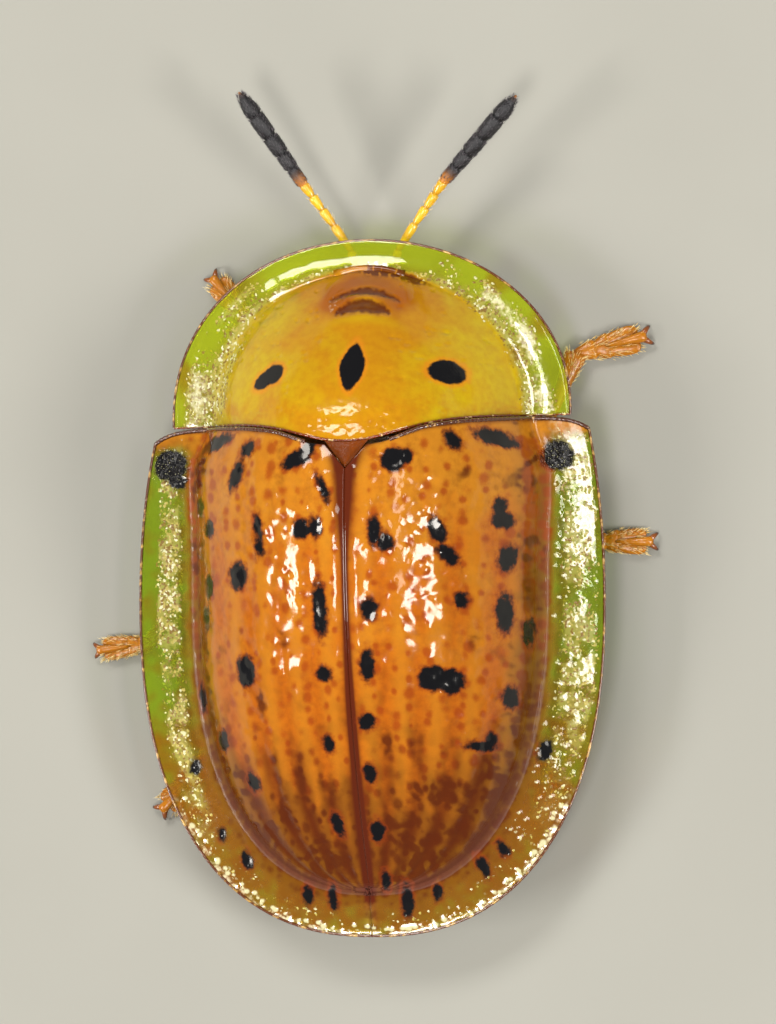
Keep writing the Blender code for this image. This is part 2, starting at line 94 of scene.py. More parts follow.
class Bench:
    """Models pieces in millimetres and sets them in place in metres."""

    NEAR = 1e-4

    @staticmethod
    def clear() -> None:
        """Deselects everything, so that an operator acts on the new piece only."""
        if bpy.context.mode != "OBJECT":
            bpy.ops.object.mode_set(mode="OBJECT")
        bpy.ops.object.select_all(action="DESELECT")
        bpy.context.view_layer.objects.active = None

    @staticmethod
    def alone(piece: Piece) -> None:
        """Selects one piece and makes it active.

        Args:
            piece: The piece.
        """
        Bench.clear()
        piece.select_set(True)
        bpy.context.view_layer.objects.active = piece

    @staticmethod
    @contextmanager
    def editing() -> Iterator[None]:
        """Edit mode on the active piece with all of it selected.

        Yields:
            Nothing, while edit mode is on.
        """
        bpy.ops.object.mode_set(mode="EDIT")
        bpy.ops.mesh.select_all(action="SELECT")
        yield
        bpy.ops.object.mode_set(mode="OBJECT")

    @staticmethod
    def rows(source: bpy.types.bpy_prop_collection, key: str) -> Array:
        """A vector of each item of a mesh's list, as rows of x, y, z.

        Args:
            source: The mesh's list.
            key: Name of the vector in each item.

        Returns:
            One row of x, y, z for each item.
        """
        flat = np.empty(len(source) * 3, np.float32)
        source.foreach_get(key, flat)
        return flat.reshape(-1, 3).astype(float)

    @staticmethod
    def points(piece: Piece) -> Array:
        """The vertices of a piece."""
        return Bench.rows(piece.data.vertices, "co")

    @staticmethod
    def set_points(piece: Piece, places: Array) -> None:
        """Moves the vertices of a piece."""
        piece.data.vertices.foreach_set("co", np.ascontiguousarray(places, np.float32).ravel())
        piece.data.update()

    @staticmethod
    def normals(piece: Piece) -> Array:
        """The vertex normals of a piece."""
        return Bench.rows(piece.data.vertex_normals, "vector")

    @staticmethod
    def mark(piece: Piece, name: str, values: Array) -> None:
        """Stores one number a vertex for the piece's finish to read."""
        layer = piece.data.attributes.get(name) or piece.data.attributes.new(name, "FLOAT", "POINT")
        layer.data.foreach_set("value", np.ascontiguousarray(values, np.float32))

    @staticmethod
    def mark_shares(piece: Piece, shares: dict[str, Array]) -> None:
        """Stores several marks, each kept from 0 to 1."""
        for name, values in shares.items():
            Bench.mark(piece, name, np.clip(values, 0.0, 1.0))

    @staticmethod
    def tidy(piece: Piece, near: float = NEAR) -> None:
        """Merges doubles and turns every face outward.

        Args:
            piece: The piece.
            near: Vertices nearer than this are merged.
        """
        Bench.alone(piece)
        with Bench.editing():
            bpy.ops.mesh.remove_doubles(threshold=near)
            bpy.ops.mesh.normals_make_consistent(inside=False)

    @staticmethod
    def loft(name: str, shape: Sequence[Ring], sides: int = 18) -> Piece:
        """A closed limb along Z, extruded ring by ring.

        Args:
            name: Name of the piece.
            shape: Cross-sections in order.
            sides: Corners of each cross-section.

        Returns:
            The piece, in millimetres.
        """
        Bench.clear()
        first = shape[0]
        bpy.ops.mesh.primitive_circle_add(vertices=sides, radius=1.0, fill_type="NGON")
        piece = bpy.context.object
        piece.name = name
        with Bench.editing():
            bpy.ops.transform.resize(value=(first.wide, first.high, 1.0), center_override=(0, 0, 0))
            bpy.ops.transform.translate(value=(first.aside, first.lift, first.at))
            for last, ring in zip(shape, shape[1:]):
                step = (ring.aside - last.aside, ring.lift - last.lift, ring.at - last.at)
                bpy.ops.mesh.extrude_region_move(TRANSFORM_OT_translate={"value": step})
                bpy.ops.transform.resize(
                    value=(ring.wide / last.wide, ring.high / last.high, 1.0),
                    center_override=(ring.aside, ring.lift, ring.at),
                )
            bpy.ops.mesh.select_all(action="SELECT")
            bpy.ops.mesh.normals_make_consistent(inside=False)
        return piece

    @staticmethod
    def ball(name: str, centre: Place, radii: Place, segments: int = 32, rings: int = 20) -> Piece:
        """A ball added at its place and stretched to three radii, in millimetres.

        Args:
            name: Name of the piece.
            centre: Its middle.
            radii: Its half sizes along X, Y and Z.
            segments: Faces round Z.
            rings: Faces from pole to pole.

        Returns:
            The ball.
        """
        Bench.clear()
        bpy.ops.mesh.primitive_uv_sphere_add(segments=segments, ring_count=rings, radius=1.0)
        piece = bpy.context.object
        piece.name = name
        with Bench.editing():
            bpy.ops.transform.resize(value=radii, center_override=(0, 0, 0))
            bpy.ops.transform.translate(value=centre)
        return piece

    @staticmethod
    def sheet(
        name: str, columns: int, rows: int, lay: Callable[[Array, Array], Array]
    ) -> Piece:
        """A grid whose points are laid out by a function of its two shares.

        Args:
            name: Name of the piece.
            columns: Cells along the first share.
            rows: Cells along the second share.
            lay: Gives places as rows of x, y, z from arrays shaped (rows + 1, columns + 1).

        Returns:
            The piece, facing up, in millimetres.
        """
        Bench.clear()
        bpy.ops.mesh.primitive_grid_add(x_subdivisions=columns, y_subdivisions=rows, size=2.0)
        piece = bpy.context.object
        piece.name = name
        flat = Bench.points(piece)
        order = np.lexsort((flat[:, 0], np.round(flat[:, 1], 5)))
        shape = (rows + 1, columns + 1)
        u = ((flat[order, 0] + 1.0) / 2.0).reshape(shape)
        v = ((flat[order, 1] + 1.0) / 2.0).reshape(shape)
        flat[order] = lay(u, v).reshape(-1, 3)
        Bench.set_points(piece, flat)
        Bench.alone(piece)
        with Bench.editing():
            bpy.ops.mesh.remove_doubles(threshold=Bench.NEAR)
        if Bench.normals(piece)[:, 2].mean() < 0:
            with Bench.editing():
                bpy.ops.mesh.flip_normals()
        return piece

    @staticmethod
    def tube(name: str, route: Array, radii: Array, sides: int = 2) -> Piece:
        """A round bead along a route of points, made from a bevelled curve, in millimetres.

        Args:
            name: Name of the piece.
            route: Points of its middle line, as rows of x, y, z.
            radii: Its radius at each point.
            sides: How finely it is rounded, as a curve's bevel resolution.

        Returns:
            The bead, with closed ends.
        """
        Bench.clear()
        curve = bpy.data.curves.new(name, "CURVE")
        curve.dimensions = "3D"
        curve.bevel_depth = 1.0
        curve.bevel_resolution = sides
        curve.use_fill_caps = True
        line = curve.splines.new("POLY")
        line.points.add(len(route) - 1)
        line.points.foreach_set("co", np.c_[route, np.ones(len(route))].astype(np.float32).ravel())
        line.points.foreach_set("radius", np.asarray(radii, np.float32))
        Bench.alone(Bench.added(name, curve))
        bpy.ops.object.convert(target="MESH")
        piece = bpy.context.object
        Bench.tidy(piece, 1e-5)
        return piece

    @staticmethod
    def added(name: str, data: bpy.types.ID) -> Piece:
        """A new object in the scene that carries this data.

        Args:
            name: Name of the object.
            data: What it carries.

        Returns:
            The new object.
        """
        made = bpy.data.objects.new(name, data)
        bpy.context.scene.collection.objects.link(made)
        return made

    @staticmethod
    def modify(piece: Piece, kind: str, **settings: object) -> None:
        """Adds a modifier with its settings and applies it.

        Args:
            piece: The piece.
            kind: The modifier's type.
            settings: Its settings by name.
        """
        Bench.alone(piece)
        added = piece.modifiers.new(kind.lower(), kind)
        for key, value in settings.items():
            setattr(added, key, value)
        bpy.ops.object.modifier_apply(modifier=added.name)

    @staticmethod
    def copy(piece: Piece, name: str) -> Piece:
        """A copy of a piece with its own mesh.

        Args:
            piece: The piece to copy.
            name: Name of the copy.

        Returns:
            The copy.
        """
        made = piece.copy()
        made.data = piece.data.copy()
        made.name = made.data.name = name
        bpy.context.scene.collection.objects.link(made)
        return made

    @staticmethod
    def discard(*pieces: Piece) -> None:
        """Removes patterns that were only modelled to be copied."""
        for piece in pieces:
            bpy.data.objects.remove(piece, do_unlink=True)

    @staticmethod
    def turn(piece: Piece, matrix: Matrix) -> Piece:
        """Moves and turns a piece's mesh, keeping its faces outward.

        Args:
            piece: The piece.
            matrix: The turn and move.

        Returns:
            The same piece.
        """
        piece.data.transform(matrix)
        if matrix.to_3x3().determinant() < 0:
            piece.data.flip_normals()
        piece.data.update()
        return piece

    @staticmethod
    def placed(pattern: Piece, matrix: Matrix) -> Piece:
        """A copy of a pattern, moved and turned."""
        return Bench.turn(Bench.copy(pattern, f"{pattern.name}_copy"), matrix)

    @staticmethod
    def joined(name: str, pieces: Sequence[Piece]) -> Piece:
        """Several meshes made one piece.

        Args:
            name: Name of the joined piece.
            pieces: The meshes, which are used up.

        Returns:
            The joined piece.
        """
        Bench.clear()
        for piece in pieces:
            piece.select_set(True)
        bpy.context.view_layer.objects.active = pieces[0]
        if len(pieces) > 1:
            bpy.ops.object.join()
        piece = bpy.context.object
        piece.name = piece.data.name = name
        return piece

    @staticmethod
    def deliver(
        piece: Piece, finish: bpy.types.Material, slot: str, nodes: Sequence[str]
    ) -> Piece:
        """Sets a piece down in metres, dresses it and hands it to the frame.

        Args:
            piece: A piece in millimetres at the origin.
            finish: Its material.
            slot: The record's material slot.
            nodes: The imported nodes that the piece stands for.

        Returns:
            The piece, in metres.
        """
        piece.data.transform(Matrix.Scale(MM, 4))
        piece.data.update()
        piece.data.materials.clear()
        piece.data.materials.append(finish)
        piece.data.polygons.foreach_set("use_smooth", [True] * len(piece.data.polygons))
        piece.data.name = piece.name
        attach(piece, "root")
        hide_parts(*nodes)
        LOG.info("%s: %d faces, slot %s", piece.name, len(piece.data.polygons), slot)
        return piece


def aim(start: Vector, end: Vector, up: Vector = Vector((0, 0, 1))) -> Matrix:
    """The turn and move that carry local Z onto the line from start to end, with local Y upward.

    Args:
        start: Where local Z starts.
        end: What it points at.
        up: The side that local Y leans to.

    Returns:
        The turn and move.
    """
    forward = (end - start).normalized()
    side = up.cross(forward).normalized()
    over = forward.cross(side)
    return Matrix.Translation(start) @ Matrix((side, over, forward)).transposed().to_4x4()


def clouds(x: Array, y: Array, size: float, seed: float) -> Array:
    """Smooth noise from -1 to 1 over two flat arrays, with features about this size."""
    pairs = zip((x / size).tolist(), (y / size).tolist())
    return np.array([noise.noise(Vector((a, b, seed))) for a, b in pairs])


def bell(distance: Array, width: float) -> Array:
    """A bell curve that is 1 at 0."""
    return np.exp(-((distance / width) ** 2))


def arch(share: Array) -> Array:
    """0 at both ends of a share, 1 at its middle."""
    return np.sin(math.pi * np.clip(share, 0.0, 1.0))


def step_up(values: Array, low: float, high: float) -> Array:
    """0 below low, 1 above high, and smooth between."""
    share = np.clip((values - low) / (high - low), 0.0, 1.0)
    return share * share * (3.0 - 2.0 * share)


# Photograph's view


@dataclass(frozen=True)
class PhotoView:
    """The photograph's frame and viewing angle, over the plane of the shell's rim."""

    width: int = 776
    height: int = 1024
    mm_per_pixel: float = 0.014347
    tilt_deg: float = 9.0
    distance: float = 170.0
    axis_pixel: float = 372.0
    middle_row: float = 513.5
    rim_level: float = 0.90
    sensor: float = 36.0

    @property
    def right(self) -> Vector:
        """The image's rightward direction."""
        tilt = math.radians(self.tilt_deg)
        return Vector((-math.cos(tilt), 0.0, -math.sin(tilt)))

    @property
    def down(self) -> Vector:
        """The image's downward direction, toward the beetle's tail."""
        return Vector((0.0, 1.0, 0.0))

    @property
    def back(self) -> Vector:
        """From the beetle toward the camera."""
        tilt = math.radians(self.tilt_deg)
        return Vector((-math.sin(tilt), 0.0, math.cos(tilt)))

    @property
    def target(self) -> Vector:
        """The point of the rim plane at the middle of the image, in millimetres.

        Returns:
            The point.
        """
        aside = (self.width / 2 - self.axis_pixel) * self.mm_per_pixel
        along = (self.height / 2 - self.middle_row) * self.mm_per_pixel
        return Vector((-aside / math.cos(math.radians(self.tilt_deg)), along, self.rim_level))

    def eye(self) -> Vector:
        """The camera's place in millimetres."""
        return self.target + self.back * self.distance

    def on_surface(
        self, column: float, row: float, height: Height
    ) -> Plan:
        """Where a pixel's line of sight meets a surface.

        Args:
            column: Pixel column of the photograph.
            row: Pixel row of the photograph.
            height: The surface's height at x, y in millimetres.

        Returns:
            x and y in millimetres.
        """
        aim_at = (
            self.target
            + self.right * ((column - self.width / 2) * self.mm_per_pixel)
            + self.down * ((row - self.height / 2) * self.mm_per_pixel)
        )
        eye = self.eye()
        line = aim_at - eye
        level = self.rim_level + 1.0
        spot = eye
        for _ in range(12):
            spot = eye + line * ((level - eye.z) / line.z)
            level += 0.6 * (float(height(spot.x, spot.y)) - level)
        return spot.x, spot.y

    def camera(self) -> Piece:
        """Makes the scene's camera.

        Returns:
            The camera.
        """
        data = bpy.data.cameras.new("camera")
        made = Bench.added("camera", data)
        turn = Matrix((self.right, -self.down, self.back)).transposed()
        made.matrix_world = Matrix.Translation(self.eye() * MM) @ turn.to_4x4()
        data.sensor_width = self.sensor
        data.lens = self.distance * self.sensor / (self.height * self.mm_per_pixel)
        data.clip_start = 0.01
        data.clip_end = 5.0
        bpy.context.scene.camera = made
        return made


PHOTO = PhotoView()


# Finishes


class Nodes:
    """Builds one material's nodes."""

    def __init__(self, name: str) -> None:
        """Starts a node tree with its output and the object coordinates in millimetres.

        Args:
            name: Name of the material.
        """
        self.material = bpy.data.materials.new(name)
        self.material.use_nodes = True
        self.tree = self.material.node_tree
        self.tree.nodes.clear()
        self.output = self.add("ShaderNodeOutputMaterial")
        place = self.add("ShaderNodeTexCoord").outputs["Object"]
        scaled = self.add("ShaderNodeVectorMath", {0: place, "Scale": 1.0 / MM}, operation="SCALE")
        self.place = scaled.outputs[0]

    def add(self, kind: str, inputs: Inputs = None, **settings: object) -> bpy.types.Node:
        """Adds a node.

        Args:
            kind: Blender's name for it.
            inputs: A value, or the socket that it comes from, for each input set.
            settings: Its properties.

        Returns:
            The node.
        """
        made = self.tree.nodes.new(kind)
        for key, value in settings.items():
            setattr(made, key, value)
        for key, value in (inputs or {}).items():
            self.feed(made.inputs[key], value)
        return made

    def feed(self, socket: Socket, value: object) -> None:
        """Links a socket to another, or sets its value.

        Args:
            socket: The input to feed.
            value: An output to link, or a number or colour.
        """
        if isinstance(value, Socket):
            self.tree.links.new(value, socket)
        elif isinstance(value, tuple) and len(value) == 3 and socket.type == "RGBA":
            socket.default_value = (*value, 1.0)
        else:
            socket.default_value = value

    def mark(self, name: str) -> Socket:
        """A number stored on the mesh."""
        return self.add("ShaderNodeAttribute", attribute_name=name).outputs["Fac"]

    def noise(self, per_mm: float, detail: float = 3.0, rough: float = 0.55) -> Socket:
        """Noise from 0 to 1 with this many features a millimetre."""
        inputs = {"Vector": self.place, "Scale": per_mm, "Detail": detail, "Roughness": rough}
        return self.add("ShaderNodeTexNoise", inputs).outputs["Fac"]

    def waver(self, per_mm: float, detail: float, low: float, high: float) -> Socket:
        """Noise carried to a range."""
        return self.span(self.noise(per_mm, detail), 0.3, 0.7, low, high)

    def cells(self, per_mm: float) -> bpy.types.Node:
        """A cell pattern with this many cells a millimetre."""
        return self.add("ShaderNodeTexVoronoi", {"Vector": self.place, "Scale": per_mm}, feature="F1")

    def span(
        self, value: object, low: float, high: float, to_low: float = 0.0, to_high: float = 1.0
    ) -> Socket:
        """A value carried smoothly from one range to another."""
        inputs = {"Value": value, "From Min": low, "From Max": high, "To Min": to_low, "To Max": to_high}
        return self.add("ShaderNodeMapRange", inputs, interpolation_type="SMOOTHSTEP").outputs["Result"]

    def sum(self, first: object, second: object, kind: str = "ADD") -> Socket:
        """Arithmetic on two values."""
        return self.add("ShaderNodeMath", {0: first, 1: second}, operation=kind).outputs[0]

    def times(self, first: object, second: object) -> Socket:
        """The product of two values."""
        return self.sum(first, second, "MULTIPLY")

    def most(self, first: object, second: object) -> Socket:
        """The larger of two values."""
        return self.sum(first, second, "MAXIMUM")

    def blend(self, share: object, first: object, second: object) -> Socket:
        """Two colours mixed by a share."""
        inputs = {"Factor": share, 6: first, 7: second}
        return self.add("ShaderNodeMix", inputs, data_type="RGBA", blend_type="MIX").outputs[2]

    def bump(self, height: object, strength: float, depth_mm: float, under: object = None) -> Socket:
        """A bumped normal from a height, over another bump if there is one.

        Args:
            height: The height, from 0 to 1.
            strength: Share of the bump that shows.
            depth_mm: Rise from height 0 to height 1.
            under: The normal of the bump below it, if there is one.

        Returns:
            The bumped normal.
        """
        inputs = {"Strength": strength, "Distance": depth_mm * MM, "Height": height}
        if under is not None:
            inputs["Normal"] = under
        return self.add("ShaderNodeBump", inputs).outputs["Normal"]

    def surface(self, **values: object) -> Socket:
        """A Principled shader; a key's underscores stand for spaces."""
        inputs = {key.replace("_", " "): value for key, value in values.items()}
        return self.add("ShaderNodeBsdfPrincipled", inputs).outputs[0]

    def finish(self, shader: Socket) -> bpy.types.Material:
        """Joins the shader to the output and gives the material."""
        self.feed(self.output.inputs["Surface"], shader)
        return self.material


@dataclass(frozen=True)
class ShellFinish:
    """Glossy amber plate with pits, black spots and a clear, grainy margin; its colour also holds painted
    glints, painted sheen and painted shade on the flanks.
    """

    name: str
    front: Colour
    middle: Colour
    rear: Colour
    pit: Colour = (0.215, 0.028, 0.002)
    stain: Colour = (0.070, 0.011, 0.001)
    # Foot colour: darkens the flanks, partly their own olive-brown and partly painted shade.
    foot: Colour = (0.150, 0.064, 0.002)
    # Frost colour: pale milky margin, partly painted sheen.
    frost: Colour = (0.62, 0.59, 0.38)
    spot: Colour = (0.003, 0.003, 0.004)
    halo: Colour = (0.20, 0.030, 0.003)
    seam: Colour = (0.072, 0.010, 0.002)
    margin: Colour = (0.26, 0.29, 0.014)
    margin_amber: Colour = (0.27, 0.108, 0.003)
    band: Colour = (0.33, 0.30, 0.06)
    # White grain colour: pale granules, partly painted glints.
    grain_white: Colour = (0.54, 0.52, 0.30)
    grain_gold: Colour = (0.36, 0.29, 0.06)
    grain_brown: Colour = (0.17, 0.095, 0.012)
    clear_green: Colour = (0.60, 0.80, 0.12)
    clear_amber: Colour = (0.80, 0.46, 0.04)
    clearness: float = 0.72
    rough: float = 0.10
    edge_noise: float = 0.028
    edge_soft: float = 0.030
    spot_growth: float = 0.012
    grains_per_mm: float = 31.0

    def plate_colour(self, n: Nodes, grain: object, fine: object) -> Socket:
        """Colour of the solid plate with its tones, ribs, pits, patches, seam and painted shade on the flanks.

        Args:
            n: The finish's nodes.
            grain: Noise that mottles the colour.
            fine: Finer noise that wears the pits' edges.

        Returns:
            The colour.
        """
        tone = n.sum(n.mark("tone"), n.waver(1.6, 2.0, -0.14, 0.14))
        colour = n.blend(n.span(tone, 0.0, 0.5), self.front, self.middle)
        colour = n.blend(n.span(tone, 0.5, 1.0), colour, self.rear)
        colour = n.blend(n.span(grain, 0.30, 0.75, 0.0, 0.30), colour, self.rear)
        colour = n.blend(n.times(n.mark("rib"), 0.55), colour, self.front)
        # Foot: darker toward the flanks, partly their own tone and partly painted shade where the dome's sides
        # turn from the light.
        colour = n.blend(n.mark("foot"), colour, self.foot)
        pit = n.blend(n.span(n.mark("tone"), 0.55, 1.0), self.pit, self.stain)
        worn = n.sum(n.mark("pit"), n.span(fine, 0.3, 0.7, -0.06, 0.06))
        colour = n.blend(n.span(worn, 0.15, 0.95, 0.0, 0.74), colour, pit)
        shade = n.sum(n.mark("shade"), n.waver(7.0, 2.0, -0.12, 0.12))
        colour = n.blend(n.span(shade, 0.05, 1.05, 0.0, 0.92), colour, self.stain)
        return n.blend(n.span(n.mark("seam"), 0.1, 0.9), colour, self.seam)

    def material(self) -> bpy.types.Material:
        """Builds the finish from the marks stored on a shell plate.

        Returns:
            The Blender material.
        """
        n = Nodes(self.name)
        grain, fine = n.noise(9.0, 3.0), n.noise(38.0, 2.0)
        amber = n.mark("amber")
        clear = n.sum(n.mark("clear"), n.waver(6.0, 3.0, -0.10, 0.10))
        edge = n.sum(n.mark("spot"), n.span(grain, 0.2, 0.8, -self.edge_noise, self.edge_noise))
        colour = self.plate_colour(n, grain, fine)
        in_margin = n.span(clear, 0.15, 0.75)
        colour = n.blend(in_margin, colour, n.blend(amber, self.margin, self.margin_amber))
        halo = n.times(n.span(edge, -0.075, -0.005, 0.0, 0.70), n.span(in_margin, 0.0, 1.0, 1.0, 0.0))
        colour = n.blend(halo, colour, self.halo)
        cell = n.cells(self.grains_per_mm)
        kind = n.add("ShaderNodeSeparateColor", {0: cell.outputs["Color"]})
        band = n.times(n.mark("speckle"), n.span(n.noise(4.5, 3.0), 0.32, 0.60, 0.30, 1.0))
        ground = n.span(band, 0.10, 0.80)
        colour = n.blend(n.times(ground, 0.90), colour, self.band)
        here = n.span(n.sum(n.times(band, 0.80), kind.outputs[0], "SUBTRACT"), 0.0, 0.10)
        # Grains of the band: brown, gold and white; the white ones are partly painted glints.
        grains = n.blend(n.span(kind.outputs[1], 0.34, 0.42), self.grain_brown, self.grain_gold)
        grains = n.blend(n.span(kind.outputs[1], 0.70, 0.78), grains, self.grain_white)
        colour = n.blend(here, colour, grains)
        # Frost: pale milky colour on the margin, partly a painted sheen of reflected light.
        frost = n.span(n.times(n.mark("frost"), n.waver(15.0, 3.0, 0.45, 1.5)), 0.10, 0.90)
        colour = n.blend(n.times(frost, 0.80), colour, self.frost)
        # Chambers: pale cells of the margin, partly painted glints at the same places.
        chamber_glint = n.span(n.mark("cell"), 0.30, 0.75, 0.0, 0.85)
        colour = n.blend(chamber_glint, colour, self.grain_white)
        spot = n.span(edge, -self.edge_soft - self.spot_growth, self.edge_soft - self.spot_growth)
        # Pale specks on the grainy black spots, partly painted glints.
        grit = n.times(n.mark("gritty"), n.span(n.cells(26.0).outputs["Distance"], 0.0, 0.7, 1.0, 0.0))
        black = n.blend(n.span(grit, 0.78, 0.92, 0.0, 0.7), self.spot, self.grain_white)
        colour = n.blend(spot, colour, black)
        relief = n.bump(n.noise(11.0, 2.0, 0.6), 0.25, 0.006)
        domed = n.span(cell.outputs["Distance"], 0.0, 0.7, 1.0, 0.0)
        relief = n.bump(n.times(here, domed), 0.7, 0.008, relief)
        relief = n.bump(grit, 1.0, 0.026, relief)
        coat = n.times(n.span(clear, 0.1, 0.8, 0.0, 0.9), n.span(spot, 0.0, 1.0, 1.0, 0.05))
        polish = n.span(grain, 0.2, 0.8, self.rough - 0.03, self.rough + 0.05)
        solid = n.surface(
            Base_Color=colour, Roughness=n.sum(polish, n.times(n.mark("dull"), 0.7)), Normal=relief,
            IOR=1.28, Specular_IOR_Level=1.0, Specular_Tint=(1.0, 0.96, 0.90),
            Coat_Weight=coat, Coat_Roughness=0.05, Coat_IOR=1.9,
        )
        glassy = n.blend(amber, self.clear_green, self.clear_amber)
        sheet = n.add("ShaderNodeBsdfTransparent", {"Color": glassy}).outputs[0]
        share = n.times(n.span(clear, 0.10, 0.85, 0.0, self.clearness), n.span(here, 0.0, 1.0, 1.0, 0.10))
        share = n.times(share, n.span(ground, 0.0, 1.0, 1.0, 0.35))
        solid_here = n.most(n.most(spot, chamber_glint), n.most(frost, n.mark("seam")))
        share = n.times(share, n.span(solid_here, 0.0, 1.0, 1.0, 0.03))
        return n.finish(n.add("ShaderNodeMixShader", {"Fac": share, 1: solid, 2: sheet}).outputs[0])


@dataclass(frozen=True)
class HornFinish:
    """Plain horny cuticle of one colour, with darker ends, fine grain and a soft shine."""

    name: str
    colour: Colour
    dark: Colour
    rough: float = 0.30
    coat: float = 0.35
    glow: float = 0.15
    grain_per_mm: float = 24.0
    relief_mm: float = 0.010
    bend: float = 1.42
    warm: Colour = (0.45, 0.16, 0.02)

    def material(self) -> bpy.types.Material:
        """Builds the finish; the mesh may store where it darkens or warms.

        Returns:
            The Blender material.
        """
        n = Nodes(self.name)
        patch = n.noise(3.0, 4.0)
        grain = n.noise(self.grain_per_mm, 3.0, 0.6)
        colour = n.blend(n.span(patch, 0.3, 0.75, 0.0, 0.5), self.colour, self.dark)
        colour = n.blend(n.span(grain, 0.25, 0.8, 0.0, 0.25), colour, self.dark)
        colour = n.blend(n.span(n.mark("darken"), 0.0, 1.0, 0.0, 0.95), colour, self.dark)
        colour = n.blend(n.mark("warm"), colour, self.warm)
        return n.finish(n.surface(
            Base_Color=colour, Roughness=n.span(grain, 0.2, 0.8, self.rough - 0.06, self.rough + 0.10),
            Normal=n.bump(grain, 0.5, self.relief_mm), IOR=self.bend, Coat_Weight=self.coat,
            Coat_Roughness=0.15, Subsurface_Weight=self.glow, Subsurface_Radius=(1.0, 0.45, 0.12),
            Subsurface_Scale=0.00012,
        ))


@dataclass(frozen=True)
class RimFinish:
    """Dark red-brown edge with a wet shine and paler flecks, which are painted glints."""

    name: str
    colour: Colour
    # The pale colour of the flecks, painted as glints.
    light: Colour
    low: float = 0.52
    high: float = 0.68

    def material(self) -> bpy.types.Material:
        """Builds the finish.

        Returns:
            The Blender material.
        """
        n = Nodes(self.name)
        fleck = n.noise(9.0, 3.0)
        # Flecks: pale colour painted along the edge as glints.
        colour = n.blend(n.span(fleck, self.low, self.high, 0.0, 0.9), self.colour, self.light)
        return n.finish(n.surface(
            Base_Color=colour, Roughness=n.span(fleck, 0.3, 0.7, 0.12, 0.25), IOR=1.5,
            Normal=n.bump(n.noise(20.0, 2.0), 0.5, 0.006), Coat_Weight=0.6, Coat_Roughness=0.05,
        ))


@dataclass(frozen=True)
class EyeFinish:
    """Black compound eye with fine facets."""

    name: str = "compound_eye"
    colour: Colour = (0.012, 0.008, 0.006)
    warm: Colour = (0.06, 0.025, 0.010)
    facets_per_mm: float = 42.0

    def material(self) -> bpy.types.Material:
        """Builds the finish.

        Returns:
            The Blender material.
        """
        n = Nodes(self.name)
        facet = n.cells(self.facets_per_mm).outputs["Distance"]
        colour = n.blend(n.span(facet, 0.2, 0.7), self.colour, self.warm)
        return n.finish(n.surface(
            Base_Color=colour, Roughness=0.12, IOR=1.5, Coat_Weight=0.6, Coat_Roughness=0.05,
            Normal=n.bump(n.span(facet, 0.0, 0.7, 1.0, 0.0), 0.6, 0.008),
        ))


@dataclass(frozen=True)
class HairFinish:
    """Fine bristles."""

    name: str
    colour: Colour
    tip: Colour

    def material(self) -> bpy.types.Material:
        """Builds the finish, paler toward the tip where the mesh stores it.

        Returns:
            The Blender material.
        """
        n = Nodes(self.name)
        colour = n.blend(n.mark("along"), self.colour, self.tip)
        colour = n.blend(n.span(n.noise(8.0, 2.0), 0.35, 0.65, 0.0, 0.4), colour, self.tip)
        return n.finish(n.surface(Base_Color=colour, Roughness=n.span(n.noise(20.0), 0.3, 0.7, 0.3, 0.5)))


@dataclass(frozen=True)
class FloorFinish:
    """Pale matt studio floor."""

    name: str = "floor"
    colour: Colour = (0.252, 0.246, 0.214)
    warm: Colour = (0.240, 0.234, 0.203)

    def material(self) -> bpy.types.Material:
        """Builds the finish.

        Returns:
            The Blender material.
        """
        n = Nodes(self.name)
        colour = n.blend(n.span(n.noise(0.15, 3.0), 0.3, 0.7), self.colour, self.warm)
        return n.finish(n.surface(Base_Color=colour, Roughness=0.85))


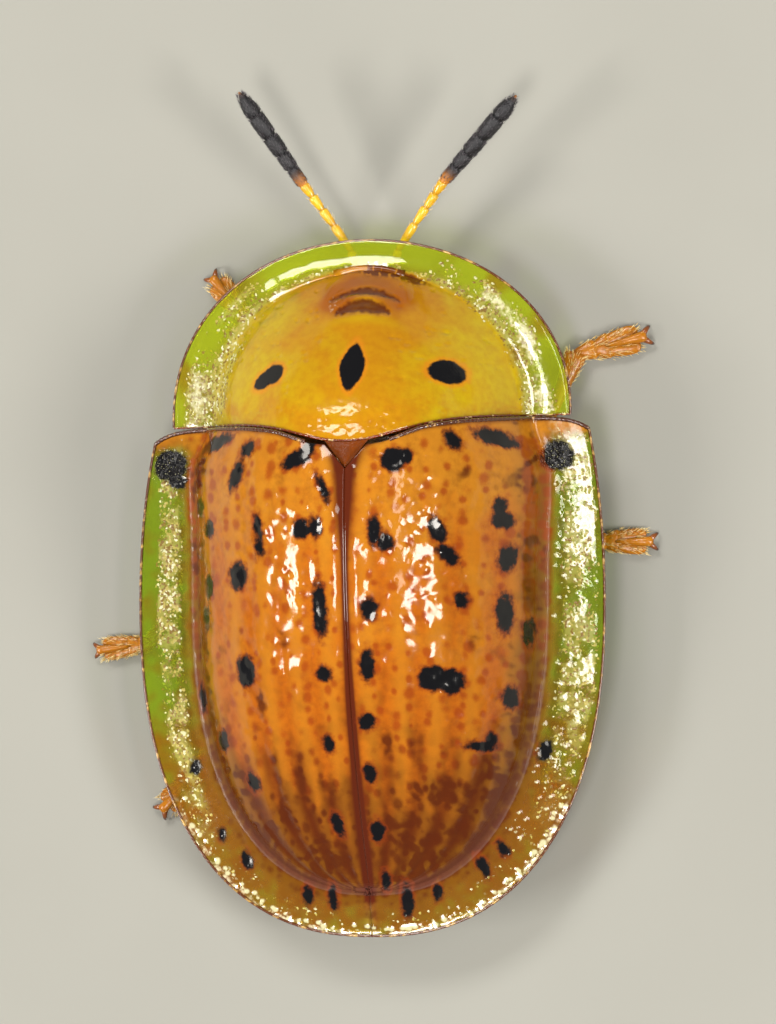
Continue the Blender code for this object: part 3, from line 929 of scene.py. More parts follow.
class Finishes:
    """Every material of the beetle, each built once."""

    def __init__(self) -> None:
        """Builds the materials."""
        self.case = ShellFinish(
            "amber_wing_case", (0.395, 0.148, 0.008), (0.350, 0.085, 0.003), (0.088, 0.015, 0.001)
        ).material()
        self.pronotum = ShellFinish(
            "yellow_pronotum", (0.41, 0.285, 0.003), (0.385, 0.172, 0.002), (0.27, 0.072, 0.002),
            rough=0.10, edge_noise=0.012, edge_soft=0.016, spot_growth=0.0, halo=(0.50, 0.16, 0.006),
            margin=(0.37, 0.39, 0.016), clear_green=(0.90, 1.0, 0.18),
        ).material()
        self.scutellum = HornFinish(
            "scutellum_brown", (0.15, 0.032, 0.003), (0.05, 0.009, 0.002), 0.24, 0.0, 0.1, 16.0, 0.016, 1.18
        ).material()
        self.rim = RimFinish("rim_brown", (0.085, 0.022, 0.004), (0.50, 0.30, 0.07), 0.50, 0.70).material()
        self.front = RimFinish(
            "front_edge_brown", (0.060, 0.014, 0.004), (0.45, 0.25, 0.08), 0.60, 0.70
        ).material()
        self.hind = RimFinish(
            "hind_edge_red", (0.17, 0.026, 0.004), (0.80, 0.55, 0.22), 0.57, 0.68
        ).material()
        self.belly = HornFinish(
            "belly_amber", (0.52, 0.26, 0.045), (0.22, 0.075, 0.015), 0.28, 0.3, 0.12, 16.0, 0.02
        ).material()
        self.head = HornFinish("head_orange", (0.60, 0.26, 0.03), (0.26, 0.07, 0.010), 0.30).material()
        self.mouth = HornFinish("mouth_brown", (0.20, 0.07, 0.015), (0.05, 0.014, 0.005), 0.28).material()
        self.eye = EyeFinish().material()
        self.stalk = HornFinish(
            "stalk_yellow", (0.70, 0.42, 0.015), (0.34, 0.13, 0.008), 0.22, 0.5
        ).material()
        self.club = HornFinish(
            "club_black", (0.010, 0.009, 0.010), (0.003, 0.003, 0.004), 0.42, 0.0, 0.0, 34.0, 0.022
        ).material()
        self.leg = HornFinish(
            "leg_amber", (0.41, 0.150, 0.006), (0.19, 0.050, 0.002), 0.22, 0.08, 0.15, 20.0, 0.012, 1.36
        ).material()
        self.claw = HornFinish(
            "claw_brown", (0.26, 0.07, 0.010), (0.03, 0.008, 0.004), 0.2, 0.5, 0.05
        ).material()
        self.gold_hair = HairFinish("golden_bristles", (0.70, 0.42, 0.08), (0.95, 0.78, 0.40)).material()
        self.black_hair = HairFinish("black_bristles", (0.012, 0.011, 0.012), (0.14, 0.12, 0.13)).material()


# Bristles


@dataclass
class Bristles:
    """A patch of tapering bristles joined as one mesh."""

    name: str
    roots: list[Vector] = field(default_factory=list)
    tips: list[Vector] = field(default_factory=list)
    thick: float = 0.004
    floor_gap: float = 0.003

    def grow(self, root: Vector, tip: Vector) -> None:
        """Adds one bristle."""
        self.roots.append(root)
        self.tips.append(tip)

    def grow_above_floor(self, root: Vector, tip: Vector) -> None:
        """Adds one bristle whose tip stays above the floor."""
        self.grow(root, Vector((tip.x, tip.y, max(tip.z, self.floor_gap))))

    def build(self) -> Piece:
        """Models one bristle as a cone and repeats it at every root.

        Returns:
            The bristles as one piece, in millimetres.
        """
        Bench.clear()
        bpy.ops.mesh.primitive_cone_add(
            vertices=4, radius1=1.0, radius2=0.12, depth=1.0, end_fill_type="NGON"
        )
        pattern = bpy.context.object
        shape = Bench.points(pattern)
        shape[:, 2] += 0.5
        faces = [list(face.vertices) for face in pattern.data.polygons]
        Bench.discard(pattern)
        count, size = len(self.roots), len(shape)
        places = np.empty((count * size, 3))
        for index, (root, tip) in enumerate(zip(self.roots, self.tips)):
            turn = np.array(aim(root, tip, Vector((0.3, 0.2, 1.0))).to_3x3())
            local = shape * np.array((self.thick, self.thick, (tip - root).length))
            places[index * size:(index + 1) * size] = local @ turn.T + np.array(root)
        mesh = bpy.data.meshes.new(self.name)
        all_faces = [[corner + index * size for corner in face] for index in range(count) for face in faces]
        mesh.from_pydata(places.tolist(), [], all_faces)
        piece = Bench.added(self.name, mesh)
        Bench.mark(piece, "along", np.tile(shape[:, 2], count))
        return piece


# Shell


@dataclass(frozen=True)
class Mark:
    """A mark on the shell at a pixel of the photograph, with its size in pixels and lean from upright."""

    column: float
    row: float
    long: float
    wide: float
    lean: float = 0.0
    power: float = 2.0

    def field(self, x: Array, y: Array, height: Height) -> Array:
        """How far inside the mark each place lies, in millimetres, and below 0 outside it.

        Args:
            x: Places along X.
            y: Places along Y.
            height: Gives the shell's height at a place.

        Returns:
            Distances in millimetres.
        """
        centre = PHOTO.on_surface(self.column, self.row, height)
        lean = math.radians(self.lean)
        along = ((x - centre[0]) * -math.sin(lean) + (y - centre[1]) * -math.cos(lean))
        across = ((x - centre[0]) * math.cos(lean) - (y - centre[1]) * math.sin(lean))
        half_long = self.long / 2 * PHOTO.mm_per_pixel
        half_wide = self.wide / 2 * PHOTO.mm_per_pixel
        reach = np.abs(along / half_long) ** self.power + np.abs(across / half_wide) ** self.power
        return (1.0 - reach ** (1.0 / self.power)) * min(half_long, half_wide)


def marks(*sizes: tuple[float, ...]) -> tuple[Mark, ...]:
    """Marks from their pixels and sizes, in order."""
    return tuple(Mark(*size) for size in sizes)


def deepest(found: Sequence[Mark], x: Array, y: Array, height: Height) -> Array:
    """The field of several marks together, down to a floor far outside them."""
    fields = [mark.field(x, y, height) for mark in found]
    return np.max([np.full(len(x), FAR_OUTSIDE), *fields], axis=0)


@dataclass(frozen=True)
class BaseLine:
    """The line where the pronotum meets the wing cases, in millimetres."""

    side_y: float = -1.33
    lobe: float = 0.30
    spread: float = 0.97
    turn: float = 0.035

    def at(self, x: Array) -> Array:
        """Y of the line at x."""
        return self.side_y + self.lobe * np.exp(-((x / self.spread) ** 2)) + self.turn * x


BASE = BaseLine()


@dataclass(frozen=True)
class RimLevel:
    """Height of the shell's rim over the floor, in millimetres."""

    level: float = 0.90
    front_rise: float = 0.12
    widest_y: float = 1.24
    front_y: float = -3.92

    def at(self, y: Array) -> Array:
        """Height of the rim at y."""
        ahead = np.maximum(0.0, (self.widest_y - y) / (self.widest_y - self.front_y))
        return self.level + self.front_rise * ahead**2


RIM = RimLevel()


class ShellForm:
    """What the two shell forms share: rounded outlines, one round the disc and one along the rim."""

    half_width: float
    disc_half_width: float
    widest_y: float
    power: float
    crease_rise: float

    def taper(self, beyond: Array) -> Array:
        """Share of the full width left at this share of the way to an outline's end."""
        return np.maximum(1.0 - beyond**self.power, 0.0) ** (1.0 / self.power)

    def outline(self, x: Array, y: Array, width: Array, end: float) -> Array:
        """1 on an outline of this half width and end, less inside it."""
        beyond = np.maximum(0.0, (y - self.widest_y) / (end - self.widest_y))
        return ((np.abs(x) / width) ** self.power + beyond**self.power) ** (1.0 / self.power)

    def margin_share(self, x: Array, y: Array) -> Array:
        """0 on the disc and its crease, 1 on the rim.

        Args:
            x: Places along X.
            y: Places along Y.

        Returns:
            Shares from 0 to 1.
        """
        outside = np.maximum(0.0, (self.disc_radius(x, y) - 1.0) * self.disc_half_width)
        inside = np.maximum(0.0, (1.0 - self.rim_radius(x, y)) * self.half_width)
        return outside / np.maximum(outside + inside, TINY)

    def margin_height(self, x: Array, y: Array) -> Array:
        """Height of the rim and of the margin that rises from it to the crease."""
        return RIM.at(y) + self.crease_rise * np.maximum(1.0 - self.margin_share(x, y), 0.0) ** 1.1

    def creased(self, x: Array, y: Array, width: float, rounds: int) -> Array:
        """Heights of a grid, softened in a strip of this width along the crease."""
        near = bell((self.disc_radius(x, y) - 1.0) * self.disc_half_width, width)
        return smooth_near(self.height(x, y), near, rounds)


@dataclass(frozen=True)
class WingCaseForm(ShellForm):
    """Macro shape of the wing cases' upper surface, in millimetres."""

    half_width: float = 3.37
    widest_y: float = 1.24
    rear_y: float = 6.06
    narrowing: float = 0.17
    disc_half_width: float = 2.50
    disc_rear_y: float = 5.40
    peak_y: float = 0.10
    disc_rise: float = 2.28
    crease_rise: float = 0.22
    power: float = 2.35
    crease_share: float = 0.75
    front_rows: float = 0.36
    shoulder_rounding: float = 0.18
    shoulder_reach: float = 2.22
    shoulder_inset: float = 0.30
    disc_widening: float = 0.10
    seam_gap: float = 0.0012

    def ahead(self, y: Array) -> Array:
        """Share of the way from the widest place to the shoulders."""
        return np.maximum(0.0, (self.widest_y - y) / self.shoulder_reach)

    def rim_width(self, y: Array) -> Array:
        """Half width of the rim ahead of the widest place."""
        return self.half_width - self.narrowing * self.ahead(y) ** 2

    def disc_width(self, y: Array) -> Array:
        """Half width of the raised disc ahead of the widest place."""
        shoulder = self.shoulder_inset * np.exp(-(((y - BASE.side_y) / 0.45) ** 2))
        return self.disc_half_width + self.disc_widening * self.ahead(y) ** 2 - shoulder

    def disc_radius(self, x: Array, y: Array) -> Array:
        """1 on the crease round the disc."""
        return self.outline(x, y, self.disc_width(y), self.disc_rear_y)

    def rim_radius(self, x: Array, y: Array) -> Array:
        """1 on the rim."""
        return self.outline(x, y, self.rim_width(y), self.rear_y)

    def across(self, x: Array, y: Array) -> Array:
        """Share of the way from the seam to the crease at the same y, up to 1."""
        behind = np.clip((y - self.widest_y) / (self.disc_rear_y - self.widest_y), 0.0, 1.0)
        return np.clip(np.abs(x) / np.maximum(self.disc_width(y) * self.taper(behind), TINY), 0.0, 1.0)

    def height(self, x: Array, y: Array) -> Array:
        """Height of the surface over the floor.

        Args:
            x: Places along X.
            y: Places along Y.

        Returns:
            Heights in millimetres.
        """
        x, y = np.asarray(x, float), np.asarray(y, float)
        along = np.clip((y - self.peak_y) / (self.disc_rear_y - self.peak_y), 0.0, 1.0)
        ahead = np.maximum(0.0, self.peak_y - y) / 1.2
        rise = (1.0 - along**2) ** 1.05 - 0.085 * ahead**2
        dome = self.disc_rise * rise * (1.0 - self.across(x, y) ** 2.3) ** 0.8
        return self.margin_height(x, y) + np.where(self.disc_radius(x, y) < 1.0, dome, 0.0)

    def point(self, u: float, v: float) -> Array:
        """The place of one pair of grid shares on the left wing case."""
        return self.lay(np.array([[u]]), np.array([[v]]), Side.LEFT, ScutellumForm())[0, 0]

    def lay(self, u: Array, v: Array, side: Side, scutellum: "ScutellumForm") -> Array:
        """Lays a grid out over one wing case.

        Args:
            u: Shares from the seam to the rim.
            v: Shares from front to rear.
            side: Which wing case it is.
            scutellum: The plate that its front corner makes room for.

        Returns:
            Places as x, y, z in millimetres.
        """
        front = BASE.side_y + 0.05
        ahead = v < self.front_rows
        y_front = front + (self.widest_y - front) * v / self.front_rows
        angle = np.clip((v - self.front_rows) / (1.0 - self.front_rows), 0.0, 1.0) * math.pi / 2
        wide = np.maximum(np.cos(angle), 0.0) ** (2.0 / self.power)
        long = np.sin(angle) ** (2.0 / self.power)
        rim_x = np.where(ahead, self.rim_width(y_front), self.half_width * wide)
        rim_y = np.where(ahead, y_front, self.widest_y + (self.rear_y - self.widest_y) * long)
        disc_x = np.where(ahead, self.disc_width(y_front), self.disc_half_width * wide)
        disc_y = np.where(ahead, y_front, self.widest_y + (self.disc_rear_y - self.widest_y) * long)
        inner = np.clip(u / self.crease_share, 0.0, 1.0)
        outer = np.clip((u - self.crease_share) / (1.0 - self.crease_share), 0.0, 1.0)
        x = disc_x * inner + (rim_x - disc_x) * outer
        y = disc_y + (rim_y - disc_y) * outer
        fade = np.maximum(0.0, 1.0 - v / 0.4) ** 2
        y = y + (BASE.at(side.value * x) - BASE.side_y) * fade
        y = y + self.shoulder_rounding * (x / np.maximum(rim_x, TINY)) ** 14 * fade
        notch = scutellum.half_width * np.maximum(0.0, (scutellum.tip_y - y) / scutellum.length)
        gap = self.seam_gap + notch * np.maximum(0.0, 1.0 - x / self.half_width)
        x = np.maximum(x + gap * np.maximum(0.0, 1.0 - x), self.seam_gap)
        return np.stack((side.value * x, y, self.creased(x, y, 0.42, 6)), axis=-1)


def smooth_near(heights: Array, where: Array, rounds: int) -> Array:
    """Softens a grid of heights where a share says so.

    Args:
        heights: The grid of heights.
        where: How much of the softening each place gets.
        rounds: How many times the whole grid is softened.

    Returns:
        The softened grid.
    """
    soft = heights
    for _ in range(rounds):
        wide = np.pad(soft, 1, mode="edge")
        soft = 0.5 * soft + 0.125 * (wide[:-2, 1:-1] + wide[2:, 1:-1] + wide[1:-1, :-2] + wide[1:-1, 2:])
    return heights + (soft - heights) * np.clip(where, 0.0, 1.0)


@dataclass(frozen=True)
class PronotumForm(ShellForm):
    """Macro shape of the pronotum's upper surface, in millimetres."""

    half_width: float = 2.88
    widest_y: float = -1.45
    front_y: float = -3.92
    disc_half_width: float = 2.20
    disc_front_y: float = -3.45
    disc_rise: float = 2.04
    crease_rise: float = 0.22
    power: float = 2.05
    crease_share: float = 0.75

    def disc_radius(self, x: Array, y: Array) -> Array:
        """1 on the crease round the disc."""
        return self.outline(x, y, self.disc_half_width, self.disc_front_y)

    def rim_radius(self, x: Array, y: Array) -> Array:
        """1 on the rim."""
        return self.outline(x, y, self.half_width, self.front_y)

    def height(self, x: Array, y: Array) -> Array:
        """Height of the surface over the floor.

        Args:
            x: Places along X.
            y: Places along Y.

        Returns:
            Heights in millimetres.
        """
        x, y = np.abs(np.asarray(x, float)), np.asarray(y, float)
        base = BASE.side_y + BASE.lobe
        along = np.clip((base - y) / (base - self.disc_front_y), 0.0, 1.0)
        ahead = np.clip((self.widest_y - y) / (self.widest_y - self.disc_front_y), 0.0, 1.0)
        across = np.clip(x / np.maximum(self.disc_half_width * self.taper(ahead), TINY), 0.0, 1.0)
        dome = self.disc_rise * (1.0 - along**1.7) * (1.0 - across**2.2) ** 0.9
        return self.margin_height(x, y) + np.where(self.disc_radius(x, y) < 1.0, dome, 0.0)

    def lay(self, u: Array, v: Array) -> Array:
        """Lays a grid out over the pronotum.

        Args:
            u: Shares across, from the right rim to the left.
            v: Shares from the hind edge to the front.

        Returns:
            Places as x, y, z in millimetres.
        """
        start = math.asin((self.widest_y - BASE.side_y) / (self.widest_y - self.front_y))
        angle = start + (math.pi / 2 - start) * v
        wide = np.maximum(np.cos(angle), 0.0) ** (2.0 / self.power)
        long = np.copysign(np.abs(np.sin(angle)) ** (2.0 / self.power), angle)
        rim_y = self.widest_y - long * (self.widest_y - self.front_y)
        disc_y = self.widest_y - long * (self.widest_y - self.disc_front_y)
        rim_y, disc_y = (np.where(v < TINY, BASE.side_y, row) for row in (rim_y, disc_y))
        share = np.abs(2.0 * u - 1.0)
        inner = np.clip(share / self.crease_share, 0.0, 1.0)
        outer = np.clip((share - self.crease_share) / (1.0 - self.crease_share), 0.0, 1.0)
        x = self.disc_half_width * wide * inner + (self.half_width - self.disc_half_width) * wide * outer
        x = np.copysign(x, u - 0.5)
        y = disc_y + (rim_y - disc_y) * outer
        y = y + (BASE.at(x) - BASE.side_y) * (1.0 - v) ** 2
        return np.stack((x, y, self.creased(x, y, 0.36, 60)), axis=-1)


@dataclass(frozen=True)
class ScutellumForm:
    """The small triangle between the wing cases, in millimetres."""

    half_width: float = 0.32
    length: float = 0.36
    front_gap: float = 0.03

    @property
    def tip_y(self) -> float:
        """Y of the hind point."""
        return float(BASE.at(np.array(0.0))) + self.front_gap + self.length

    def lay(self, u: Array, v: Array) -> Array:
        """Places of a grid over the triangle: u across, v from its front edge to its point.

        Args:
            u: Shares across the grid.
            v: Shares along the grid.

        Returns:
            The places, as x, y, z along the last axis.
        """
        x = (self.half_width * (1.0 - v) + 0.012 * v) * (2.0 * u - 1.0)
        front = BASE.at(x) + 0.01
        y = front + (self.tip_y - 0.02 - front) * v
        return np.stack((x, y, WingCaseForm().height(x, y) - 0.015 - 0.02 * (2.0 * u - 1.0) ** 2), axis=-1)


def beaded(count: int, thick: float, swell: float, uneven: float, draw: Draw) -> Array:
    """Radii along an edge that swells into beads, a little uneven."""
    beads = swell * np.sin(np.arange(count) * BEAD_PACE)
    return thick * (1.0 + beads + draw.uniform(-uneven, uneven, count))


@dataclass
class WingCase:
    """One wing case with its pits, spots, clear margin and rim bead."""

    side: Side
    spots: Sequence[Mark]
    shades: Sequence[Mark]
    form: WingCaseForm = WingCaseForm()
    columns: int = 128
    rows: int = 330
    rows_of_pits: int = 10
    pit_spacing: float = 0.17
    pit_radius: float = 0.044
    pit_depth: float = 0.004
    missing: float = 0.16
    wall: float = 0.075
    blisters: int = 115
    beads: int = 210
    rib_rise: float = 0.002
    costa_rise: float = 0.012
    swell_rise: float = 0.006
    crease_pit_depth: float = 0.004
    seam_rise: float = 0.018
    blister_rise: float = 0.015
    bead_rise: float = 0.011
    fold_rise: float = 0.003
    edge_rise: float = 0.015
    spot_depth: float = 0.005
    glint_rise: float = 0.012
    seeds: ClassVar[dict[Side, int]] = {Side.LEFT: 11, Side.RIGHT: 23}
    bead_seeds: ClassVar[dict[Side, int]] = {Side.LEFT: 41, Side.RIGHT: 43}
    bulges: ClassVar[dict[Side, float]] = {Side.LEFT: 0.008, Side.RIGHT: 0.014}

    def pit_places(self, draw: Draw) -> Array:
        """Centres and radii of the pits in their rows down the disc.

        Args:
            draw: Draws the random numbers.

        Returns:
            Rows of x, y and radius, in millimetres.
        """
        form, found = self.form, []
        for row in range(self.rows_of_pits):
            share = (row + 0.62) / (self.rows_of_pits + 0.35)
            y = BASE.side_y + 0.26 + draw.uniform(0.0, self.pit_spacing)
            while y < form.disc_rear_y - 0.12:
                behind = max(0.0, (y - form.widest_y) / (form.disc_rear_y - form.widest_y))
                width = float(form.disc_width(np.array(y))) * float(form.taper(behind))
                crowded = width / self.rows_of_pits < 0.13 and row % 2 == 1
                if not crowded and width > 0.4 and draw.uniform() > self.missing:
                    x = share * width + draw.normal(0.0, 0.032)
                    found.append((x, y + draw.normal(0.0, 0.03), self.pit_radius * draw.uniform(0.7, 1.55)))
                y += self.pit_spacing * draw.uniform(0.75, 1.35)
        return np.array(found)

    def in_margin(self, share: float, v: float, radius: float) -> Place:
        """A round mark's centre and radius, at a share of the way from the crease to the rim."""
        place = self.form.point(self.form.crease_share + (1.0 - self.form.crease_share) * share, v)
        return place[0], place[1], radius

    def margin_pits(self, draw: Draw) -> Array:
        """Centres and radii of the larger pits along the crease and in the margin.

        Args:
            draw: Draws the random numbers.

        Returns:
            Rows of x, y and radius, in millimetres.
        """
        found = []
        for v in np.linspace(0.02, 0.995, 66):
            for lane, radius in ((-0.16, 0.065), (0.04, 0.075), (0.30, 0.06)):
                share = lane + draw.uniform(-0.05, 0.06)
                row = np.clip(v + draw.uniform(-0.006, 0.006), 0.0, 1.0)
                found.append(self.in_margin(share, row, radius * draw.uniform(0.7, 1.3)))
        return np.array(found)

    def blister_places(self, draw: Draw) -> Array:
        """Centres and radii of the low round swellings between the pits of the front half."""
        low, high = (0.20, -0.9, 0.10), (2.0, 2.6, 0.18)
        return draw.uniform(low, high, (self.blisters, 3))

    def bead_places(self, draw: Draw) -> Array:
        """Centres and radii of the small round beads among the pits, which catch the light."""
        across, along = draw.uniform(0.15, 2.15, self.beads), draw.uniform(-1.0, 3.4, self.beads)
        return np.c_[across, along, draw.uniform(0.040, 0.075, self.beads)]

    def glint_places(self, draw: Draw) -> Array:
        """Centres and radii of the pale chambers, whose pale colour is partly painted glints: a row beside the
        hind rim, and scattered on the right.

        Args:
            draw: Draws the random numbers.

        Returns:
            Rows of x, y and radius, in millimetres.
        """
        found = []
        for v in np.linspace(0.60, 0.995, 46) + draw.normal(0.0, 0.004, 46):
            found.append((0.87 + draw.normal(0.0, 0.035), min(v, 0.999), draw.uniform(0.018, 0.060)))
        if self.side is Side.RIGHT:
            for _ in range(150):
                v = draw.uniform(0.05, 0.70)
                found.append((draw.uniform(0.16, 0.90), v, draw.uniform(0.016, 0.038)))
        return np.array([self.in_margin(*chamber_glint) for chamber_glint in found])

    @staticmethod
    def dents(x: Array, y: Array, pits: Array, flatten: float = 0.85, wide: float = 1.0) -> Array:
        """How deep in the nearest pit each place lies.

        Args:
            x: Places along X, from the seam.
            y: Places along Y.
            pits: Centres and radii.
            flatten: How much longer than wide the pits are counted.
            wide: Factor on the radii.

        Returns:
            Depths from 0 to 1.
        """
        found = np.zeros(len(x))
        for cx, cy, radius in pits:
            near = (np.abs(x - cx) < 0.45) & (np.abs(y - cy) < 0.45)
            hit = bell(np.hypot(x[near] - cx, (y[near] - cy) * flatten), radius * wide)
            found[near] = np.maximum(found[near], hit)
        return found

    def survey(self, places: Array, draw: Draw) -> SimpleNamespace:
        """Measures every point of the plate for its relief and its marks.

        Args:
            places: The points, as rows of x, y, z.
            draw: Draws the places of pits, swellings and chambers.

        Returns:
            Named arrays with a number for each point.
        """
        g, form = SimpleNamespace(), self.form
        g.x, g.y, g.signed = np.abs(places[:, 0]), places[:, 1], places[:, 0]
        x, y = g.x, g.y
        g.radius, g.share = form.disc_radius(x, y), form.margin_share(x, y)
        g.disc = 1.0 - step_up(g.radius, 0.96, 1.04)
        rows, edge_pits = self.pit_places(draw), self.margin_pits(draw)
        g.pits = self.dents(x, y, rows)
        g.stain = self.dents(x, y, rows, 0.75, 1.30)
        g.stain *= 0.35 + 0.85 * step_up(clouds(g.signed, y, 0.20, 4.2), -0.45, 0.40)
        g.crease_pits = self.dents(x, y, edge_pits, 1.0)
        phase = form.across(x, y) * (self.rows_of_pits + 0.35) - 0.12
        g.rib = 0.5 - 0.5 * np.cos(2.0 * math.pi * phase)
        g.costa = 0.5 - 0.5 * np.cos(math.pi * phase)
        g.patchy, g.lumps = clouds(g.signed, y, 0.5, 9.4), clouds(g.signed, y, 0.16, 1.3)
        g.near_crease, g.rear = step_up(g.radius, 0.80, 0.98), step_up(y, 2.6, 5.0)
        g.blisters = self.dents(x, y, self.blister_places(draw))
        g.beads = self.dents(x, y, self.bead_places(np.random.default_rng(self.bead_seeds[self.side])))
        g.glints = self.dents(x, y, self.glint_places(draw), 1.3)
        g.spots = deepest(self.spots, g.signed, y, form.height)
        g.shades = deepest(self.shades, g.signed, y, form.height)
        g.corner = 1.0 - step_up(y - BASE.at(g.signed), 0.12, 0.50)
        return g

    def relief(self, g: SimpleNamespace) -> Array:
        """How far each point is raised along its normal: ribs, pits, swellings, folds and edges.

        Args:
            g: What was measured of the plate's points.

        Returns:
            Heights in millimetres, one for each point.
        """
        swell = clouds(g.signed, g.y, 0.50, 3.1) + 0.25 * clouds(g.signed, g.y, 0.24, 7.7)
        folds = np.cos(np.arctan2(g.y - 1.0, g.x) * 30.0)
        ribs = self.rib_rise * g.rib + self.costa_rise * g.costa + self.swell_rise * swell
        raised = g.disc * ribs * (1.0 - 0.4 * g.near_crease)
        raised -= self.pit_depth * g.pits + self.crease_pit_depth * g.crease_pits * (1.0 - g.rear)
        raised += self.seam_rise * bell(g.x - 0.13, 0.10) * g.disc
        raised += self.blister_rise * g.blisters * g.disc
        raised += self.bead_rise * g.beads * g.disc * (1.0 - g.near_crease)
        folded = self.fold_rise * folds * step_up(g.share, 0.25, 0.6) * step_up(g.y, 0.2, 2.2)
        raised += (1.0 - g.disc) * (0.002 * g.lumps + folded)
        raised += self.bulges[self.side] * arch(g.share) * (1.0 - g.rear)
        raised += self.edge_rise * step_up(g.share, 0.90, 1.0)
        raised -= self.spot_depth * step_up(g.spots, -0.02, 0.05)
        return raised + self.glint_rise * g.glints

    def margin_marks(self, g: SimpleNamespace) -> dict[str, Array]:
        """The marks of the margin: clearness, amber, frost that is partly painted sheen, speckled band,
        chambers that are partly painted glints, and grit.

        Args:
            g: What was measured of the plate's points.

        Returns:
            The marks by name, each with a number for every point.
        """
        share, y = g.share, g.y
        amber = g.corner + 0.85 * step_up(y, 1.6, 4.6) + 0.5 * bell(share, 0.35)
        amber = amber + 0.3 * g.patchy + 0.5 * g.lumps
        clear = 0.20 * step_up(g.radius, 0.97, 1.04) + 0.80 * step_up(share, 0.05, 0.38)
        clear *= 1.0 - 0.60 * g.rear * (1.0 - step_up(share, 0.80, 0.97))
        clear *= 1.0 - 0.85 * g.corner
        inner = 0.16 * g.rear
        outer = inner if self.side is Side.LEFT else 0.20
        band = step_up(share, 0.22 + inner, 0.42 + inner) * (1.0 - step_up(share, 0.62 + outer, 0.78 + outer))
        # Frost: pale milky patches, partly painted sheen; along the hind rim and over the right margin it
        # stands in for white reflections.
        frost = step_up(share, 0.83, 0.93) * step_up(y, 3.2, 4.8) * 0.55
        fewer = 1.0
        if self.side is Side.RIGHT:
            ahead = 1.0 - step_up(y, 0.2, 1.2)
            frost += 0.34 * step_up(share, 0.10, 0.40) * (1.0 - step_up(share, 0.84, 0.95)) * ahead
            frost += 0.10 * step_up(share, 0.82, 0.92) * step_up(y, 0.4, 1.6)
            fewer = 1.0 - 0.35 * step_up(y, 0.2, 1.1)
        speckle = np.clip(band * (0.85 + 0.7 * g.patchy), 0.0, 1.0) * (1.0 - 0.75 * g.rear)
        humeral = self.spots[0].field(g.signed, y, self.form.height)
        return {
            "clear": clear,
            "amber": amber,
            "frost": frost * (0.8 + 0.45 * g.lumps),
            "speckle": speckle * (1.0 - g.corner) * fewer,
            "cell": g.glints * step_up(share, 0.05, 0.2),
            "gritty": step_up(humeral, -0.08, 0.0),
        }

    def disc_marks(self, g: SimpleNamespace) -> dict[str, Array]:
        """The marks of the disc: tone, ribs, pits, brown patches, seam, and the foot of its flank, whose
        darkening is partly painted shade.

        Args:
            g: What was measured of the plate's points.

        Returns:
            The marks by name, each with a number for every point.
        """
        x, y, share, rear = g.x, g.y, g.share, g.rear
        dull = step_up(g.radius, 0.965, 0.995) * (1.0 - step_up(share, 0.05, 0.12)) * step_up(y, -0.9, -0.5)
        # Foot: darkens the flanks toward the crease, partly their own tone and partly painted shade.
        foot = step_up(g.radius + 0.10 * g.patchy + 0.08 * g.lumps, 0.82, 1.04) * (1.0 - 0.4 * rear)
        tone = 0.05 + (0.14 + 0.14 * rear) * clouds(g.signed * 5.0, y, 0.55, 12.3)
        tone += 0.34 * step_up(y, -1.2, 1.5) + 0.57 * step_up(y, 1.6, 4.8)
        tone += 0.42 * g.near_crease * step_up(y, -1.2, 0.6)
        fleck, valley = clouds(g.signed, y, 0.10, 5.9), 1.0 - g.costa
        mottle = step_up(0.6 * fleck + 0.8 * g.patchy + 0.6 * g.lumps, 0.0, 0.70)
        shade = 0.95 * step_up(g.shades, -0.08, 0.10) * (0.35 + 0.65 * np.maximum(mottle, g.stain))
        # Flank and crease terms: partly real dark blotches, partly painted shade that darkens the dome's sides
        # and the hind crease.
        flank = bell(g.radius - 0.94, 0.09)
        shade += mottle * (0.60 * rear + 1.10 * flank + 0.26 * valley)
        shade += rear * (0.40 * valley + 0.35 * bell(g.radius - 0.95, 0.09))
        seam = 0.95 * bell(x, 0.045) + 0.80 * bell(x, 0.17) * (1.0 - step_up(y, -0.4, 0.9))
        seam += 0.30 * bell(x, 0.16) + 0.75 * bell(x, 0.06 + 0.02 * rear) * step_up(y, 1.3, 3.0)
        seam += 0.9 * bell(np.hypot(x, y + 1.0), 0.32)
        seam *= np.maximum(g.disc, step_up(y, 4.4, 5.2))
        return {
            "tone": tone,
            "rib": g.disc * g.costa * (1.0 - 0.6 * rear),
            "pit": g.stain * g.disc + 1.1 * g.crease_pits * (1.0 - 0.75 * step_up(share, 0.1, 0.5)),
            "shade": shade * (1.0 - step_up(share, 0.05, 0.2)),
            "seam": seam + 0.75 * bell(y - BASE.at(g.signed) - 0.04, 0.075),
            "foot": foot * step_up(y, -1.2, -0.5) * (0.95 - 0.4 * g.patchy),
            "dull": dull * (1.0 - 0.8 * step_up(g.spots, -0.02, 0.02)),
        }

    def build(self, finishes: Finishes) -> None:
        """Models, marks and delivers the wing case and its beads.

        Args:
            finishes: The finishes of all pieces.
        """
        word = self.side.word
        draw = np.random.default_rng(self.seeds[self.side])
        piece = Bench.sheet(
            f"elytron_{word}_case", self.columns, self.rows,
            lambda u, v: self.form.lay(u, v, self.side, ScutellumForm()),
        )
        places = Bench.points(piece)
        ground = self.survey(places, draw)
        Bench.set_points(piece, places + Bench.normals(piece) * self.relief(ground)[:, None])
        Bench.mark(piece, "spot", ground.spots)
        Bench.mark_shares(piece, self.margin_marks(ground) | self.disc_marks(ground))
        Bench.modify(piece, "SOLIDIFY", thickness=self.wall, offset=-1.0, use_rim=True)
        Bench.deliver(piece, finishes.case, f"elytron_{word}", [f"elytron_{word}"])
        self.build_beads(finishes, draw)

